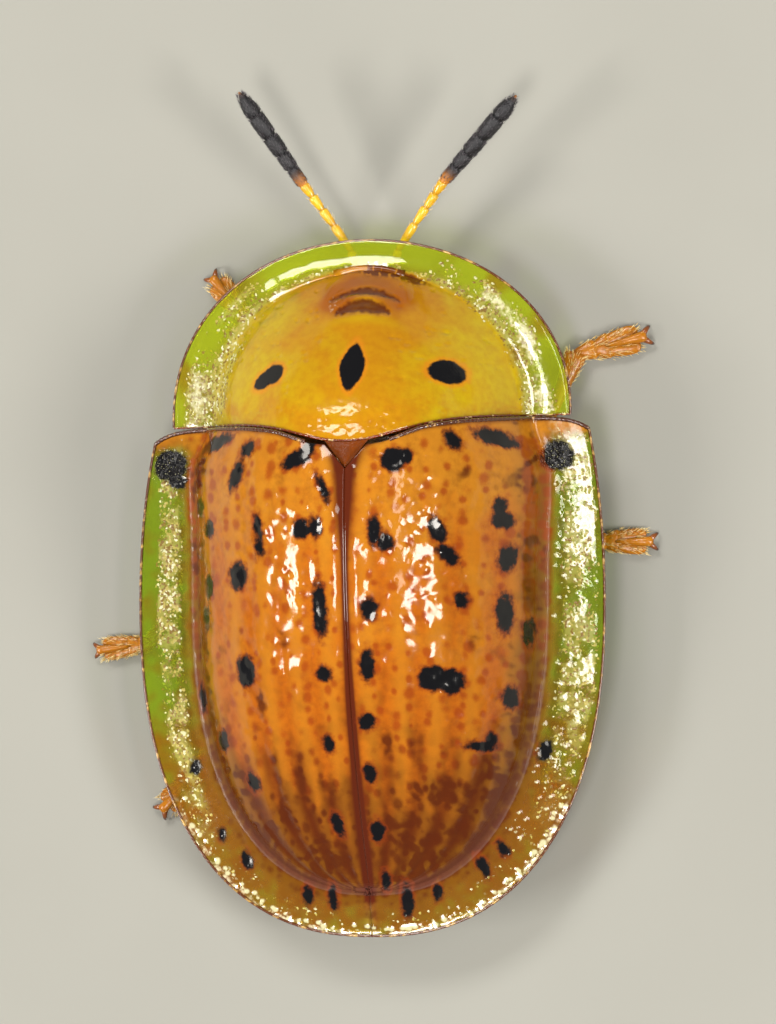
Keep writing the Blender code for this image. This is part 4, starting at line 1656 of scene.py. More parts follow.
    def edge_route(self, edge: str, count: int) -> Array:
        """Points along the outer rim or the front edge, a little over the surface.

        Args:
            edge: Either rim or front.
            count: How many points.

        Returns:
            The points, as rows of x, y, z.
        """
        shares = np.linspace(0.0, 1.0, count)[:, None]
        if edge == "rim":
            return self.form.lay(np.ones_like(shares), shares, self.side, ScutellumForm())[:, 0]
        inner = 0.14 + 0.86 * shares
        return self.form.lay(inner, np.zeros_like(shares), self.side, ScutellumForm())[:, 0]

    def build_beads(self, finishes: Finishes, draw: Draw) -> None:
        """Models the dark edge along the rim and the beaded one along the front.

        Args:
            finishes: The finishes of all pieces.
            draw: Draws the random numbers.
        """
        word = self.side.word
        for edge, count, thick, beads in (("rim", 420, 0.020, 0.03), ("front", 300, 0.030, 0.08)):
            route = self.edge_route(edge, count)
            route[:, 2] += 0.016 if edge == "rim" else 0.004
            bead = Bench.tube(f"elytron_{word}_{edge}_edge", route, beaded(count, thick, beads, 0.08, draw))
            finish = finishes.rim if edge == "rim" else finishes.front
            Bench.deliver(bead, finish, f"elytron_{word}", [f"elytron_{word}"])


@dataclass
class Pronotum:
    """The shield over the head, with its three black spots, clear margin and rim bead."""

    form: PronotumForm = PronotumForm()
    columns: int = 196
    rows: int = 190
    wall: float = 0.075
    seed: int = 5
    pits: int = 170
    pit_radius: float = 0.026
    pit_depth: float = 0.014
    mound_rise: float = 0.10
    crescent_depth: float = 0.022
    margin_bulge: float = 0.05
    swell_rise: float = 0.012
    base_groove: float = 0.03
    base_grain: float = 0.013
    side_hollow: float = 0.04
    edge_rise: float = 0.015
    mound_pixel: Plan = (364, 306)
    spots: Sequence[Mark] = marks(
        (264, 380, 27, 15, 52), (273, 374, 24, 18, 58), (352, 367, 48, 26, 4, 1.45), (447, 372, 36, 22, 108),
    )

    @staticmethod
    def crescent(g: SimpleNamespace, rise: float, bend: float, half: float, thick: float) -> Array:
        """A dark crescent in front of the mound, thickest in its middle.

        Args:
            g: What was measured of the plate's points.
            rise: How far behind the mound's middle it lies.
            bend: How fast it curves back at its sides.
            half: Half its width.
            thick: Half its thickness.

        Returns:
            1 inside and 0 outside.
        """
        worn_y = g.off_y + 0.022 * clouds(g.x, g.y, 0.06, 3.3)
        reach = thick * np.sqrt(np.maximum(1.0 - (g.off_x / half) ** 2, 1e-4))
        edge = 1.0 - step_up(np.abs(worn_y - rise - bend * g.off_x**2) - reach, -0.065, 0.030)
        return edge * (1.0 - step_up(np.abs(g.off_x) / half, 0.90, 1.0))

    def survey(self, places: Array) -> SimpleNamespace:
        """Measures every point of the plate for its relief and its marks.

        Args:
            places: The points, as rows of x, y, z.

        Returns:
            Named arrays with a number for each point.
        """
        g, form = SimpleNamespace(), self.form
        g.x, g.y = places[:, 0], places[:, 1]
        g.radius, g.share = form.disc_radius(g.x, g.y), form.margin_share(g.x, g.y)
        mound = PHOTO.on_surface(*self.mound_pixel, form.height)
        g.off_x, g.off_y = g.x - mound[0], g.y - mound[1]
        g.spread = np.hypot(g.off_x / 1.15, g.off_y)
        g.upper = self.crescent(g, -0.15, 0.45, 0.54, 0.066)
        g.lower = self.crescent(g, 0.055, 0.50, 0.42, 0.105)
        g.base_near = g.y - BASE.at(g.x)
        g.patchy, g.gritty = clouds(g.x, g.y, 0.45, 6.4), clouds(g.x, g.y, 0.05, 8.8)
        return g

    def dig(self, g: SimpleNamespace, draw: Draw) -> tuple[Array, Array]:
        """Fine pits scattered over the sides of the disc.

        Args:
            g: What was measured of the plate's points.
            draw: Draws the pits' places.

        Returns:
            How deep each point lies in all pits together, and in its nearest one.
        """
        together, nearest = np.zeros(len(g.x)), np.zeros(len(g.x))
        for cx, cy in draw.uniform((-2.0, -3.3), (2.0, -1.1), (self.pits, 2)):
            if self.form.disc_radius(cx, cy) > 0.97 or abs(cx) < 0.5:
                continue
            near = (np.abs(g.x - cx) < 0.12) & (np.abs(g.y - cy) < 0.12)
            hit = bell(np.hypot(g.x[near] - cx, g.y[near] - cy), self.pit_radius)
            together[near] += hit
            nearest[near] = np.maximum(nearest[near], hit)
        return together, nearest

    def relief(self, g: SimpleNamespace) -> Array:
        """How far each point is raised along its normal, before the fine pits.

        Args:
            g: What was measured of the plate's points.

        Returns:
            Heights in millimetres, one for each point.
        """
        disc = 1.0 - step_up(g.radius, 0.95, 1.03)
        raised = self.mound_rise * bell(np.hypot(g.off_x / 1.3, g.off_y + 0.05), 0.42)
        raised += 0.020 * bell(g.spread - 0.50, 0.07) * step_up(-g.off_y, -0.1, 0.1)
        raised -= self.crescent_depth * (g.upper + g.lower)
        raised += self.margin_bulge * arch(g.share)
        swell = clouds(g.x, g.y, 0.8, 2.2) + 0.4 * clouds(g.x, g.y, 0.3, 5.2)
        raised += disc * self.swell_rise * swell
        raised -= self.base_groove * bell(g.base_near + 0.22, 0.12) * bell(g.x, 0.75)
        grain = clouds(g.x, g.y, 0.07, 7.1) * bell(g.base_near + 0.25, 0.24)
        raised += self.base_grain * grain * bell(g.x, 0.9)
        raised -= self.side_hollow * bell(np.hypot(np.abs(g.x) - 1.45, g.base_near + 0.30), 0.22)
        raised += (1.0 - disc) * 0.003 * clouds(g.x, g.y, 0.16, 4.4)
        return raised + self.edge_rise * step_up(g.share, 0.90, 1.0)

    def shares(self, g: SimpleNamespace) -> dict[str, Array]:
        """The marks that the finish reads, apart from the black spots and the fine pits.

        Args:
            g: What was measured of the plate's points.

        Returns:
            The marks by name, each with a number for every point.
        """
        x, share, off_x, off_y = g.x, g.share, g.off_x, g.off_y
        sideways = np.where(x > 0, step_up(x, 1.35, 2.1), step_up(-x, 0.75, 1.5))
        inset = g.radius + 0.10 * step_up(x, 0.5, 1.4)
        clear = 0.30 * step_up(inset, 0.93, 1.03) + 0.70 * step_up(share, 0.0, 0.24)
        ahead = step_up(-off_x, -0.12, 0.05) * (1.0 - step_up(-off_x, 0.62, 0.88))
        collar = 1.3 * bell(g.radius - 0.985, 0.034) * ahead
        collar += 0.6 * bell(g.radius - 0.985, 0.014) * bell(x, 1.0)
        collar *= step_up(g.gritty, -0.60, 0.0)
        bare = np.clip(collar, 0.0, 1.0)
        arcs = 1.15 * (g.upper + g.lower) * (0.85 + 0.35 * step_up(g.gritty, -0.4, 0.4))
        # Frost: pale grain on the margins, partly painted sheen; the band along the middle of the right margin
        # stands in for a white streak of reflected light.
        frost = 0.80 * bell(share - 0.50, 0.18) * step_up(-x, 1.0, 1.7) * (1.0 - step_up(-g.y, 3.05, 3.3))
        frost += 0.40 * bell(share - 0.45, 0.28) * step_up(x, 1.6, 2.3) * (0.7 + g.patchy)
        frost += 0.35 * bell(np.hypot(off_x - 0.42, off_y / 1.6 - 0.02), 0.13) * step_up(g.gritty, -0.2, 0.3)
        tone = 0.42 * (1.0 - step_up(np.abs(x), 0.5, 1.9))
        tone += 0.28 * step_up(g.base_near, -0.55, -0.05) * step_up(g.patchy + 0.4 * g.gritty, -0.3, 0.4)
        band = step_up(inset, 1.0, 1.06) * (1.0 - step_up(share, 0.60, 0.85)) * sideways
        band += 0.7 * bell(g.radius - 1.03, 0.030) * (1.0 - bare)
        return {
            "clear": clear * (1.0 - 0.95 * bare),
            "amber": 0.45 * bell(share, 0.22) + 0.5 * step_up(g.patchy, 0.0, 0.5) * sideways,
            "shade": arcs + 1.1 * collar,
            "rib": 0.9 * bell(off_y - 0.22 - 0.25 * off_x**2, 0.06) * bell(off_x, 0.5),
            "frost": frost * (0.8 + 0.5 * g.patchy),
            "seam": 0.7 * step_up(g.base_near, -0.05, 0.0) * step_up(2.3 - np.abs(x), 0.0, 0.4),
            "tone": tone + 0.60 * bell(g.spread - 0.34, 0.26) * step_up(-off_y, -0.35, 0.0),
            "speckle": band * (0.60 + 0.8 * g.patchy),
        }

    def build(self, finishes: Finishes) -> None:
        """Models, marks and delivers the pronotum and its beads.

        Args:
            finishes: The finishes of all pieces.
        """
        draw = np.random.default_rng(self.seed)
        piece = Bench.sheet("pronotum_plate", self.columns, self.rows, self.form.lay)
        places = Bench.points(piece)
        ground = self.survey(places)
        together, nearest = self.dig(ground, draw)
        raised = self.relief(ground) - self.pit_depth * together
        Bench.set_points(piece, places + Bench.normals(piece) * raised[:, None])
        Bench.mark(piece, "spot", deepest(self.spots, ground.x, ground.y, self.form.height))
        Bench.mark_shares(piece, self.shares(ground) | {"pit": 0.22 * nearest})
        Bench.modify(piece, "SOLIDIFY", thickness=self.wall, offset=-1.0, use_rim=True)
        Bench.deliver(piece, finishes.pronotum, "pronotum", ["pronotum"])
        self.build_beads(finishes, draw)

    def build_beads(self, finishes: Finishes, draw: Draw) -> None:
        """Models the dark edge round the rim and the beaded one along the back.

        Args:
            finishes: The finishes of all pieces.
            draw: Draws the random numbers.
        """
        v = np.linspace(0.0, 1.0, 300)[:, None]
        one_side = self.form.lay(np.ones_like(v), v)[:, 0]
        other = self.form.lay(np.zeros_like(v), v)[:, 0]
        rim = np.vstack((one_side, other[::-1][1:]))
        rim[:, 2] += 0.014
        radii = 0.019 * (1.0 + 0.03 * np.sin(np.arange(len(rim)) * 1.1) + draw.uniform(-0.08, 0.08, len(rim)))
        Bench.deliver(Bench.tube("pronotum_rim_edge", rim, radii), finishes.rim, "pronotum", ["pronotum"])
        u = np.linspace(0.0, 1.0, 420)[:, None]
        hind = self.form.lay(u, np.zeros_like(u))[:, 0]
        hind[:, 2] -= 0.010
        radii = beaded(len(hind), 0.021, 0.14, 0.1, draw)
        Bench.deliver(Bench.tube("pronotum_hind_edge", hind, radii), finishes.hind, "pronotum", ["pronotum"])


@dataclass
class Scutellum:
    """The small plate between the wing cases."""

    form: ScutellumForm = ScutellumForm()

    def build(self, finishes: Finishes) -> None:
        """Models and delivers the scutellum.

        Args:
            finishes: The finishes of all pieces.
        """
        piece = Bench.sheet("scutellum_plate", 36, 30, self.form.lay)
        Bench.modify(piece, "SOLIDIFY", thickness=0.12, offset=-1.0, use_rim=True)
        Bench.deliver(piece, finishes.scutellum, "scutellum", ["scutellum"])


# Body under the shell


@dataclass
class TrunkPlate:
    """One piece of the trunk: a sculptured underside with walls up into the shell's hollow."""

    node: str
    front_y: float
    rear_y: float
    front_share: float
    rear_share: float
    relief: Callable[[Array, Array], Array]
    columns: int = 90
    rows: int = 60
    belly_z: float = 0.62
    inset: float = 0.39
    lift: float = 1.0

    def half_width(self, y: Array) -> Array:
        """Half width of the hollow at y.

        Args:
            y: Places along Y.

        Returns:
            Half widths in millimetres.
        """
        form = WingCaseForm()
        behind = np.clip((y - form.widest_y) / (form.disc_rear_y - self.inset - form.widest_y), 0.0, 1.0)
        case = np.minimum(form.disc_width(y), form.disc_half_width) - self.inset
        front = PronotumForm().disc_half_width - self.inset
        return np.where(y > BASE.side_y, case * form.taper(behind), front)

    def lay(self, u: Array, v: Array) -> Array:
        """Places of a grid over the underside.

        Args:
            u: Shares across the grid.
            v: Shares along the grid.

        Returns:
            The places, as x, y, z along the last axis.
        """
        y = self.front_y + (self.rear_y - self.front_y) * v
        share = self.front_share + (self.rear_share - self.front_share) * v
        rounding = 1.0 - 0.10 * np.maximum(0.0, np.abs(2.0 * v - 1.0) - 0.7) / 0.3
        half = self.half_width(y) * share * rounding
        x = half * (2.0 * u - 1.0)
        z = self.belly_z + 0.16 * np.abs(2.0 * u - 1.0) ** 3 - self.relief(x, y)
        return np.stack((x, y, z), axis=-1)

    def roof(self, x: Array, y: Array) -> Array:
        """Height of the hidden upper side, close under the shell.

        Args:
            x: Places along X.
            y: Places along Y.

        Returns:
            Heights in millimetres.
        """
        case = WingCaseForm().height(x, y)
        front = PronotumForm().height(x, y)
        top = np.where(y < -1.6, front, np.where(y > -0.8, case, np.minimum(case, front)))
        return np.maximum(top - 0.46, self.belly_z + 0.22)

    def build(self, finishes: Finishes) -> None:
        """Models and delivers the plate.

        Args:
            finishes: The finishes of all pieces.
        """
        piece = Bench.sheet(f"{self.node}_underside", self.columns, self.rows, self.lay)
        with Bench.editing():
            bpy.ops.mesh.extrude_region_move(TRANSFORM_OT_translate={"value": (0, 0, self.lift)})
        places = Bench.points(piece)
        lifted = places[:, 2] > self.belly_z + 0.73
        places[lifted, 2] = self.roof(places[lifted, 0], places[lifted, 1])
        Bench.set_points(piece, places)
        Bench.tidy(piece)
        Bench.deliver(piece, finishes.belly, self.node, [self.node])


def fine_pits(x: Array, y: Array, depth: float, size: float, seed: float) -> Array:
    """Irregular fine dents, below 0."""
    flat = clouds(x.ravel(), y.ravel(), size, seed).reshape(x.shape)
    return -depth * step_up(flat, 0.15, 0.5)


@dataclass
class Trunk:
    """Thorax and abdomen seen from below."""

    ventrites: Sequence[float] = (1.46, 2.32, 2.95, 3.50, 4.06, 4.86)

    def prothorax(self, x: Array, y: Array) -> Array:
        """Raised middle process between the front legs, with hollows at its sides.

        Args:
            x: Places along X.
            y: Places along Y.

        Returns:
            Rises in millimetres, away from the body.
        """
        process = 0.07 * bell(x, 0.22) * step_up(y, -2.1, -1.7)
        hollow = -0.06 * bell(np.hypot(np.abs(x) - 0.60, y + 1.72), 0.24)
        return process + hollow + fine_pits(x, y, 0.012, 0.06, 1.0)

    def mesothorax(self, x: Array, y: Array) -> Array:
        """Short plate with hollows for the middle legs."""
        hollow = -0.06 * bell(np.hypot(np.abs(x) - 0.80, y + 0.35), 0.26)
        return 0.03 * bell(x, 0.3) + hollow + fine_pits(x, y, 0.014, 0.06, 2.0)

    def metathorax(self, x: Array, y: Array) -> Array:
        """Broad domed plate with a groove down its middle and seams to its side plates.

        Args:
            x: Places along X.
            y: Places along Y.

        Returns:
            Rises in millimetres, away from the body.
        """
        dome = 0.06 * bell(x, 1.1) * bell(y - 0.5, 0.9)
        groove = -0.035 * bell(x, 0.028) * step_up(y, -0.1, 0.4)
        seam = -0.035 * bell(np.abs(x) - 1.45 - 0.12 * (y - 0.4), 0.03)
        hollow = -0.06 * bell(np.hypot(np.abs(x) - 0.85, y - 1.35), 0.28)
        return dome + groove + seam + hollow + fine_pits(x, y, 0.012, 0.07, 3.0)

    def abdomen(self, x: Array, y: Array) -> Array:
        """Five overlapping belly plates, each a little proud of the next.

        Args:
            x: Places along X.
            y: Places along Y.

        Returns:
            Rises in millimetres, away from the body.
        """
        relief = np.zeros_like(x)
        for start, end in zip(self.ventrites, self.ventrites[1:]):
            inside = (y >= start) & (y < end)
            share = (y - start) / (end - start)
            relief = np.where(inside, 0.045 * share - 0.030 * bell(y - start, 0.035), relief)
        dimples = -0.035 * bell(np.hypot(np.abs(x) / 0.5 - 2.7, 0.0), 0.25)
        return relief + dimples + fine_pits(x, y, 0.010, 0.05, 4.0)

    def build(self, finishes: Finishes) -> None:
        """Builds the four plates.

        Args:
            finishes: The finishes of all pieces.
        """
        TrunkPlate("prothorax", -2.10, -1.13, 0.80, 0.92, self.prothorax, 80, 40).build(finishes)
        TrunkPlate("mesothorax", -1.11, -0.23, 0.90, 0.92, self.mesothorax, 90, 36).build(finishes)
        TrunkPlate("metathorax", -0.21, 1.43, 0.92, 0.93, self.metathorax, 100, 64).build(finishes)
        TrunkPlate("abdomen", 1.45, 4.86, 0.93, 0.84, self.abdomen, 100, 150).build(finishes)


@dataclass
class Head:
    """Head capsule, eyes, sockets and mouthparts, tucked under the pronotum's front."""

    centre: Place = (0.0, -2.68, 0.74)
    radii: Place = (0.68, 0.50, 0.44)
    eye_centre: Place = (0.56, -2.76, 0.78)
    eye_radii: Place = (0.20, 0.31, 0.28)
    socket: Place = (0.27, -3.12, 0.62)

    def capsule(self) -> Piece:
        """The capsule, shaped from a ball: flat brow, clypeus ridge and grooves.

        Returns:
            The piece, in millimetres.
        """
        piece = Bench.ball("head_capsule", self.centre, self.radii, 96, 64)
        places = Bench.points(piece)
        local = (places - np.array(self.centre)) / np.array(self.radii)
        x, y, z = local.T
        face = step_up(-y, 0.0, 0.6)
        places[:, 1] += face * 0.05 * bell(x, 0.35) * bell(z - 0.25, 0.4)
        places[:, 1] -= face * 0.06 * bell(x, 0.55) * bell(z + 0.45, 0.22)
        places[:, 1] += face * 0.03 * bell(x, 0.03) * step_up(z, 0.0, 0.3)
        groove = bell(np.abs(x) - 0.28 - 0.45 * np.maximum(0.0, z + 0.1), 0.05)
        places[:, 1] += face * 0.03 * groove * step_up(z, -0.3, 0.1)
        places[:, 2] -= 0.05 * step_up(-y, 0.2, 0.9) * bell(x, 0.5)
        Bench.set_points(piece, places)
        Bench.mark_shares(piece, {"darken": 0.8 * bell(z + 0.62, 0.14) * face + 0.5 * step_up(z, 0.4, 0.9)})
        return piece

    def eye(self, side: Side) -> Piece:
        """A bulging kidney-shaped eye.

        Args:
            side: The animal's side.

        Returns:
            The piece, in millimetres.
        """
        centre = (self.eye_centre[0] * side.value, self.eye_centre[1], self.eye_centre[2])
        piece = Bench.ball(f"eye_{side.word}_lens", centre, self.eye_radii, 48, 32)
        places = Bench.points(piece)
        local = (places - np.array(centre)) / np.array(self.eye_radii)
        inner = step_up(-local[:, 0] * side.value, -0.4, 0.6)
        notch = bell(local[:, 1] + 0.75, 0.35) * bell(local[:, 2] + 0.15, 0.35) * inner
        places[:, 0] += side.value * 0.05 * notch
        Bench.set_points(piece, places)
        return piece

    def mouth(self) -> Piece:
        """Lip, jaws and feelers of the mouth, joined.

        Returns:
            The piece, in millimetres.
        """
        x, y, z = self.centre
        front, low = y - 0.40, z - 0.33
        lip = Bench.ball("lip", (0.0, front + 0.02, low + 0.03), (0.20, 0.06, 0.07), 28, 16)
        parts = [lip]
        jaw = Bench.loft("jaw", rings(
            (0.0, 0.060, 0.050), (0.06, 0.072, 0.055, 0.005), (0.13, 0.060, 0.045, -0.008),
            (0.19, 0.040, 0.030, -0.035), (0.23, 0.018, 0.016, -0.065), (0.245, 0.005, 0.005, -0.08),
        ), 16)
        palp = Bench.loft("palp", rings(
            (0.0, 0.020, 0.020), (0.04, 0.032, 0.032), (0.09, 0.034, 0.034), (0.10, 0.020, 0.020),
            (0.12, 0.034, 0.034), (0.18, 0.038, 0.038), (0.19, 0.020, 0.020), (0.21, 0.034, 0.034),
            (0.27, 0.032, 0.032), (0.31, 0.016, 0.016), (0.315, 0.004, 0.004),
        ), 14)
        for side in Side:
            s = side.value
            for pattern, root, reach, up, scale in (
                (jaw, (0.15 * s, front + 0.06, low + 0.02), (-0.10 * s, -0.06, -0.20), (0, -1, 0.2), 1.0),
                (palp, (0.22 * s, front + 0.14, low), (0.10 * s, -0.16, -0.16), (0, 0, 1), 1.0),
                (palp, (0.08 * s, front + 0.20, low - 0.04), (0.02 * s, -0.10, -0.15), (0, 0, 1), 0.65),
            ):
                start = Vector(root)
                turn = aim(start, start + Vector(reach), Vector(up))
                parts.append(Bench.placed(pattern, turn @ Matrix.Scale(scale, 4)))
        Bench.discard(jaw, palp)
        return Bench.joined("mouthparts_jaws", parts)

    def sockets(self) -> list[Piece]:
        """Raised rings that carry the feelers.

        Returns:
            The two rings, in millimetres.
        """
        made = []
        for side in Side:
            Bench.clear()
            bpy.ops.mesh.primitive_torus_add(
                major_radius=0.085, minor_radius=0.028, major_segments=32, minor_segments=14
            )
            ring = bpy.context.object
            place = Vector((self.socket[0] * side.value * 0.9, self.socket[1], self.socket[2]))
            ahead = place + Vector((0.1 * side.value, -1.0, -0.35))
            made.append(Bench.turn(ring, aim(place, ahead)))
        return made

    def build(self, finishes: Finishes) -> None:
        """Builds and delivers the head.

        Args:
            finishes: The finishes of all pieces.
        """
        capsule = Bench.joined("head_capsule", [self.capsule(), *self.sockets()])
        Bench.deliver(capsule, finishes.head, "head", ["head"])
        for side in Side:
            Bench.deliver(self.eye(side), finishes.eye, "eye", [f"eye_{side.word}"])
        Bench.deliver(self.mouth(), finishes.mouth, "mouthparts", ["mouthparts"])


# Feelers and legs


@dataclass
class Antenna:
    """One feeler of eleven joints: scape, yellow beaded stalk and black hairy club."""

    side: Side
    path: Sequence[Place]
    joints: Sequence[float] = (0.0, 0.44, 0.62, 1.07, 1.345, 1.58, 1.787, 2.066, 2.31, 2.617, 2.975, 3.38)
    radii: Sequence[float] = (0.085, 0.066, 0.068, 0.070, 0.072, 0.076, 0.092, 0.106, 0.118, 0.124, 0.120)
    club_from: int = 6
    stalk_shape: ClassVar[Sequence[Plan]] = (
        (-0.08, 0.45), (-0.01, 0.56), (0.08, 0.68), (0.3, 0.82), (0.6, 0.95), (0.84, 1.0), (0.95, 0.88),
        (1.02, 0.55),
    )
    club_shape: ClassVar[Sequence[Plan]] = (
        (-0.10, 0.50), (-0.02, 0.70), (0.08, 0.84), (0.3, 0.95), (0.6, 1.0), (0.85, 0.98), (0.96, 0.88),
        (1.03, 0.60),
    )
    tip_shape: ClassVar[Sequence[Plan]] = (
        (-0.08, 0.55), (0.0, 0.82), (0.12, 0.97), (0.28, 1.0), (0.45, 0.90), (0.60, 0.73), (0.75, 0.50),
        (0.88, 0.28), (0.96, 0.15), (1.0, 0.05),
    )

    def along(self, reach: float) -> Vector:
        """The point of the feeler's line at this length from its root.

        Args:
            reach: The length, on the scale of the joints' own places.

        Returns:
            The point.
        """
        points = [Vector((p[0] * self.side.value, p[1], p[2])) for p in self.path]
        lengths = [(b - a).length for a, b in zip(points, points[1:])]
        left = reach / self.joints[-1] * sum(lengths)
        for index, length in enumerate(lengths):
            if left <= length or index == len(lengths) - 1:
                return points[index].lerp(points[index + 1], left / length)
            left -= length
        return points[-1]

    def segment(self, index: int) -> Piece:
        """One joint, thin at its root and widest near its outer end.

        Args:
            index: Which joint, from 0 at the root.

        Returns:
            The piece, in millimetres.
        """
        start, end = self.along(self.joints[index]), self.along(self.joints[index + 1])
        length, r = (end - start).length, self.radii[index]
        last = index == len(self.radii) - 1
        shape = self.tip_shape if last else self.club_shape if index >= self.club_from else self.stalk_shape
        sizes = [(share * length, r * wide, r * wide) for share, wide in shape]
        piece = Bench.loft("feeler_joint", rings(*sizes), 20)
        share = Bench.points(piece)[:, 2] / length
        base_warm = 1.0 - step_up(share, 0.05, 0.75) if index == self.club_from else 0.0 * share
        tip_warm = step_up(share, 0.86, 0.97) if last else 0.0 * share
        dark = 0.8 * bell(share, 0.12) + 0.5 * bell(share - 1.0, 0.06)
        Bench.mark_shares(piece, {"darken": dark, "warm": base_warm + 0.6 * tip_warm})
        return Bench.turn(piece, aim(start, end))

    def hairs(self, first: int, last: int, name: str, each: int, length: float) -> Piece:
        """Short bristles over some joints.

        Args:
            first: The first joint.
            last: The joint after the last one.
            name: Name of the piece.
            each: Bristles on each joint.
            length: Their length in millimetres, which varies by a fifth or more.

        Returns:
            The piece, in millimetres.
        """
        draw = np.random.default_rng(31 + first + int(self.side.value))
        patch = Bristles(name, thick=0.0038)
        for index in range(first, last):
            start, end = self.along(self.joints[index]), self.along(self.joints[index + 1])
            turn = aim(start, end).to_3x3()
            for _ in range(each):
                share, angle = draw.uniform(0.05, 0.97), draw.uniform(0.0, 2.0 * math.pi)
                thin = 0.9 if index < len(self.radii) - 1 else 0.98 - 0.75 * share**2.2
                out = turn @ Vector((math.cos(angle), math.sin(angle), 0.0))
                root = start.lerp(end, share) + out * self.radii[index] * thin
                lean = turn @ Vector((0.0, 0.0, 1.0))
                way = (out * 0.45 + lean * 0.9).normalized()
                patch.grow(root, root + way * length * draw.uniform(0.6, 1.2))
        return patch.build()

    def build(self, finishes: Finishes) -> None:
        """Builds and delivers the feeler's three lengths and their bristles.

        Args:
            finishes: The finishes of all pieces.
        """
        word = self.side.word
        for part, first, last, finish, slot in (
            ("scape", 0, 1, finishes.stalk, "antenna_stalk"),
            ("stalk", 1, 6, finishes.stalk, "antenna_stalk"),
            ("club", 6, 11, finishes.club, "antenna_club"),
        ):
            joints = [self.segment(index) for index in range(first, last)]
            node = f"antenna_{word}_{part}"
            Bench.deliver(Bench.joined(f"{node}_joints", joints), finish, slot, [node])
        for part, first, last, each, length, finish in (
            ("club", 6, 11, 260, 0.05, finishes.black_hair),
            ("stalk", 2, 6, 16, 0.06, finishes.gold_hair),
        ):
            hair = self.hairs(first, last, f"antenna_{word}_{part}_hair", each, length)
            Bench.deliver(hair, finish, f"antenna_{part}", [f"antenna_{word}_{part}"])


class LegPatterns:
    """Limb pieces modelled once along Z at full size, then copied for each leg."""

    def __init__(self) -> None:
        """Models the patterns."""
        self.coxa = Bench.ball("coxa_pattern", (0, 0, 0), (0.25, 0.19, 0.17), 36, 24)
        self.femur = Bench.loft("femur_pattern", rings(
            (0.0, 0.07, 0.06), (0.03, 0.10, 0.09), (0.08, 0.125, 0.11), (0.12, 0.10, 0.09),
            (0.16, 0.13, 0.11), (0.30, 0.18, 0.15), (0.45, 0.205, 0.165), (0.60, 0.20, 0.16),
            (0.75, 0.17, 0.14), (0.88, 0.135, 0.12), (0.95, 0.125, 0.11), (0.99, 0.09, 0.08),
            (1.00, 0.04, 0.04),
        ), 24)
        self.tibia = Bench.loft("tibia_pattern", rings(
            (0.0, 0.045, 0.04), (0.02, 0.08, 0.07), (0.07, 0.095, 0.085), (0.13, 0.072, 0.066),
            (0.25, 0.080, 0.070), (0.45, 0.092, 0.078), (0.65, 0.108, 0.088), (0.80, 0.130, 0.098),
            (0.92, 0.158, 0.108), (0.98, 0.160, 0.105), (1.00, 0.120, 0.080),
        ), 24)
        self.first_joint = Bench.loft("first_joint", rings(
            (-0.04, 0.055, 0.045), (0.02, 0.080, 0.058), (0.10, 0.105, 0.064), (0.18, 0.130, 0.066),
            (0.24, 0.138, 0.060), (0.275, 0.120, 0.045), (0.285, 0.080, 0.028),
        ), 20)
        self.second_joint = Bench.loft("second_joint", rings(
            (-0.03, 0.070, 0.045), (0.03, 0.100, 0.058), (0.10, 0.140, 0.062), (0.17, 0.172, 0.062),
            (0.22, 0.182, 0.054), (0.25, 0.165, 0.040), (0.26, 0.120, 0.024),
        ), 20)
        self.lobe = Bench.loft("lobe", rings(
            (-0.05, 0.080, 0.040), (0.03, 0.098, 0.050, 0.004), (0.12, 0.108, 0.054, 0.014),
            (0.22, 0.112, 0.052, 0.026), (0.32, 0.108, 0.046, 0.036), (0.39, 0.092, 0.038, 0.042),
            (0.43, 0.068, 0.028, 0.044), (0.455, 0.036, 0.016, 0.044), (0.462, 0.012, 0.006, 0.044),
        ), 22)
        self.claw_joint = Bench.loft("claw_joint", rings(
            (-0.08, 0.026, 0.024), (0.02, 0.038, 0.034, 0.0, 0.012), (0.16, 0.050, 0.044, 0.0, 0.030),
            (0.32, 0.066, 0.054, 0.0, 0.036), (0.43, 0.078, 0.060, 0.0, 0.028),
            (0.49, 0.076, 0.054, 0.0, 0.018), (0.515, 0.050, 0.034, 0.0, 0.012),
        ), 18)
        self.claw = self.hook()

    def hook(self) -> Piece:
        """A pointed claw, lofted straight and then bent down.

        Returns:
            The piece, in millimetres.
        """
        length, bend = 0.23, math.radians(100.0)
        shape = [Ring(length * t, 0.044 * (1.0 - t) ** 0.75 + 0.002, 0.036 * (1.0 - t) ** 0.75 + 0.002)
                 for t in (0.0, 0.12, 0.25, 0.38, 0.5, 0.62, 0.74, 0.85, 0.94, 1.0)]
        piece = Bench.loft("claw_pattern", shape, 12)
        places = Bench.points(piece)
        share = np.clip(places[:, 2] / length, 0.0, 1.0)
        Bench.mark(piece, "darken", step_up(share, 0.15, 0.8))
        angle = share * bend
        radius = length / bend
        bent = places.copy()
        bent[:, 1] = -radius * (1.0 - np.cos(angle)) + places[:, 1] * np.cos(angle)
        bent[:, 2] = radius * np.sin(angle) + places[:, 1] * np.sin(angle)
        Bench.set_points(piece, bent)
        return piece

    def put_away(self) -> None:
        """Removes the patterns once every leg is made."""
        Bench.discard(*vars(self).values())


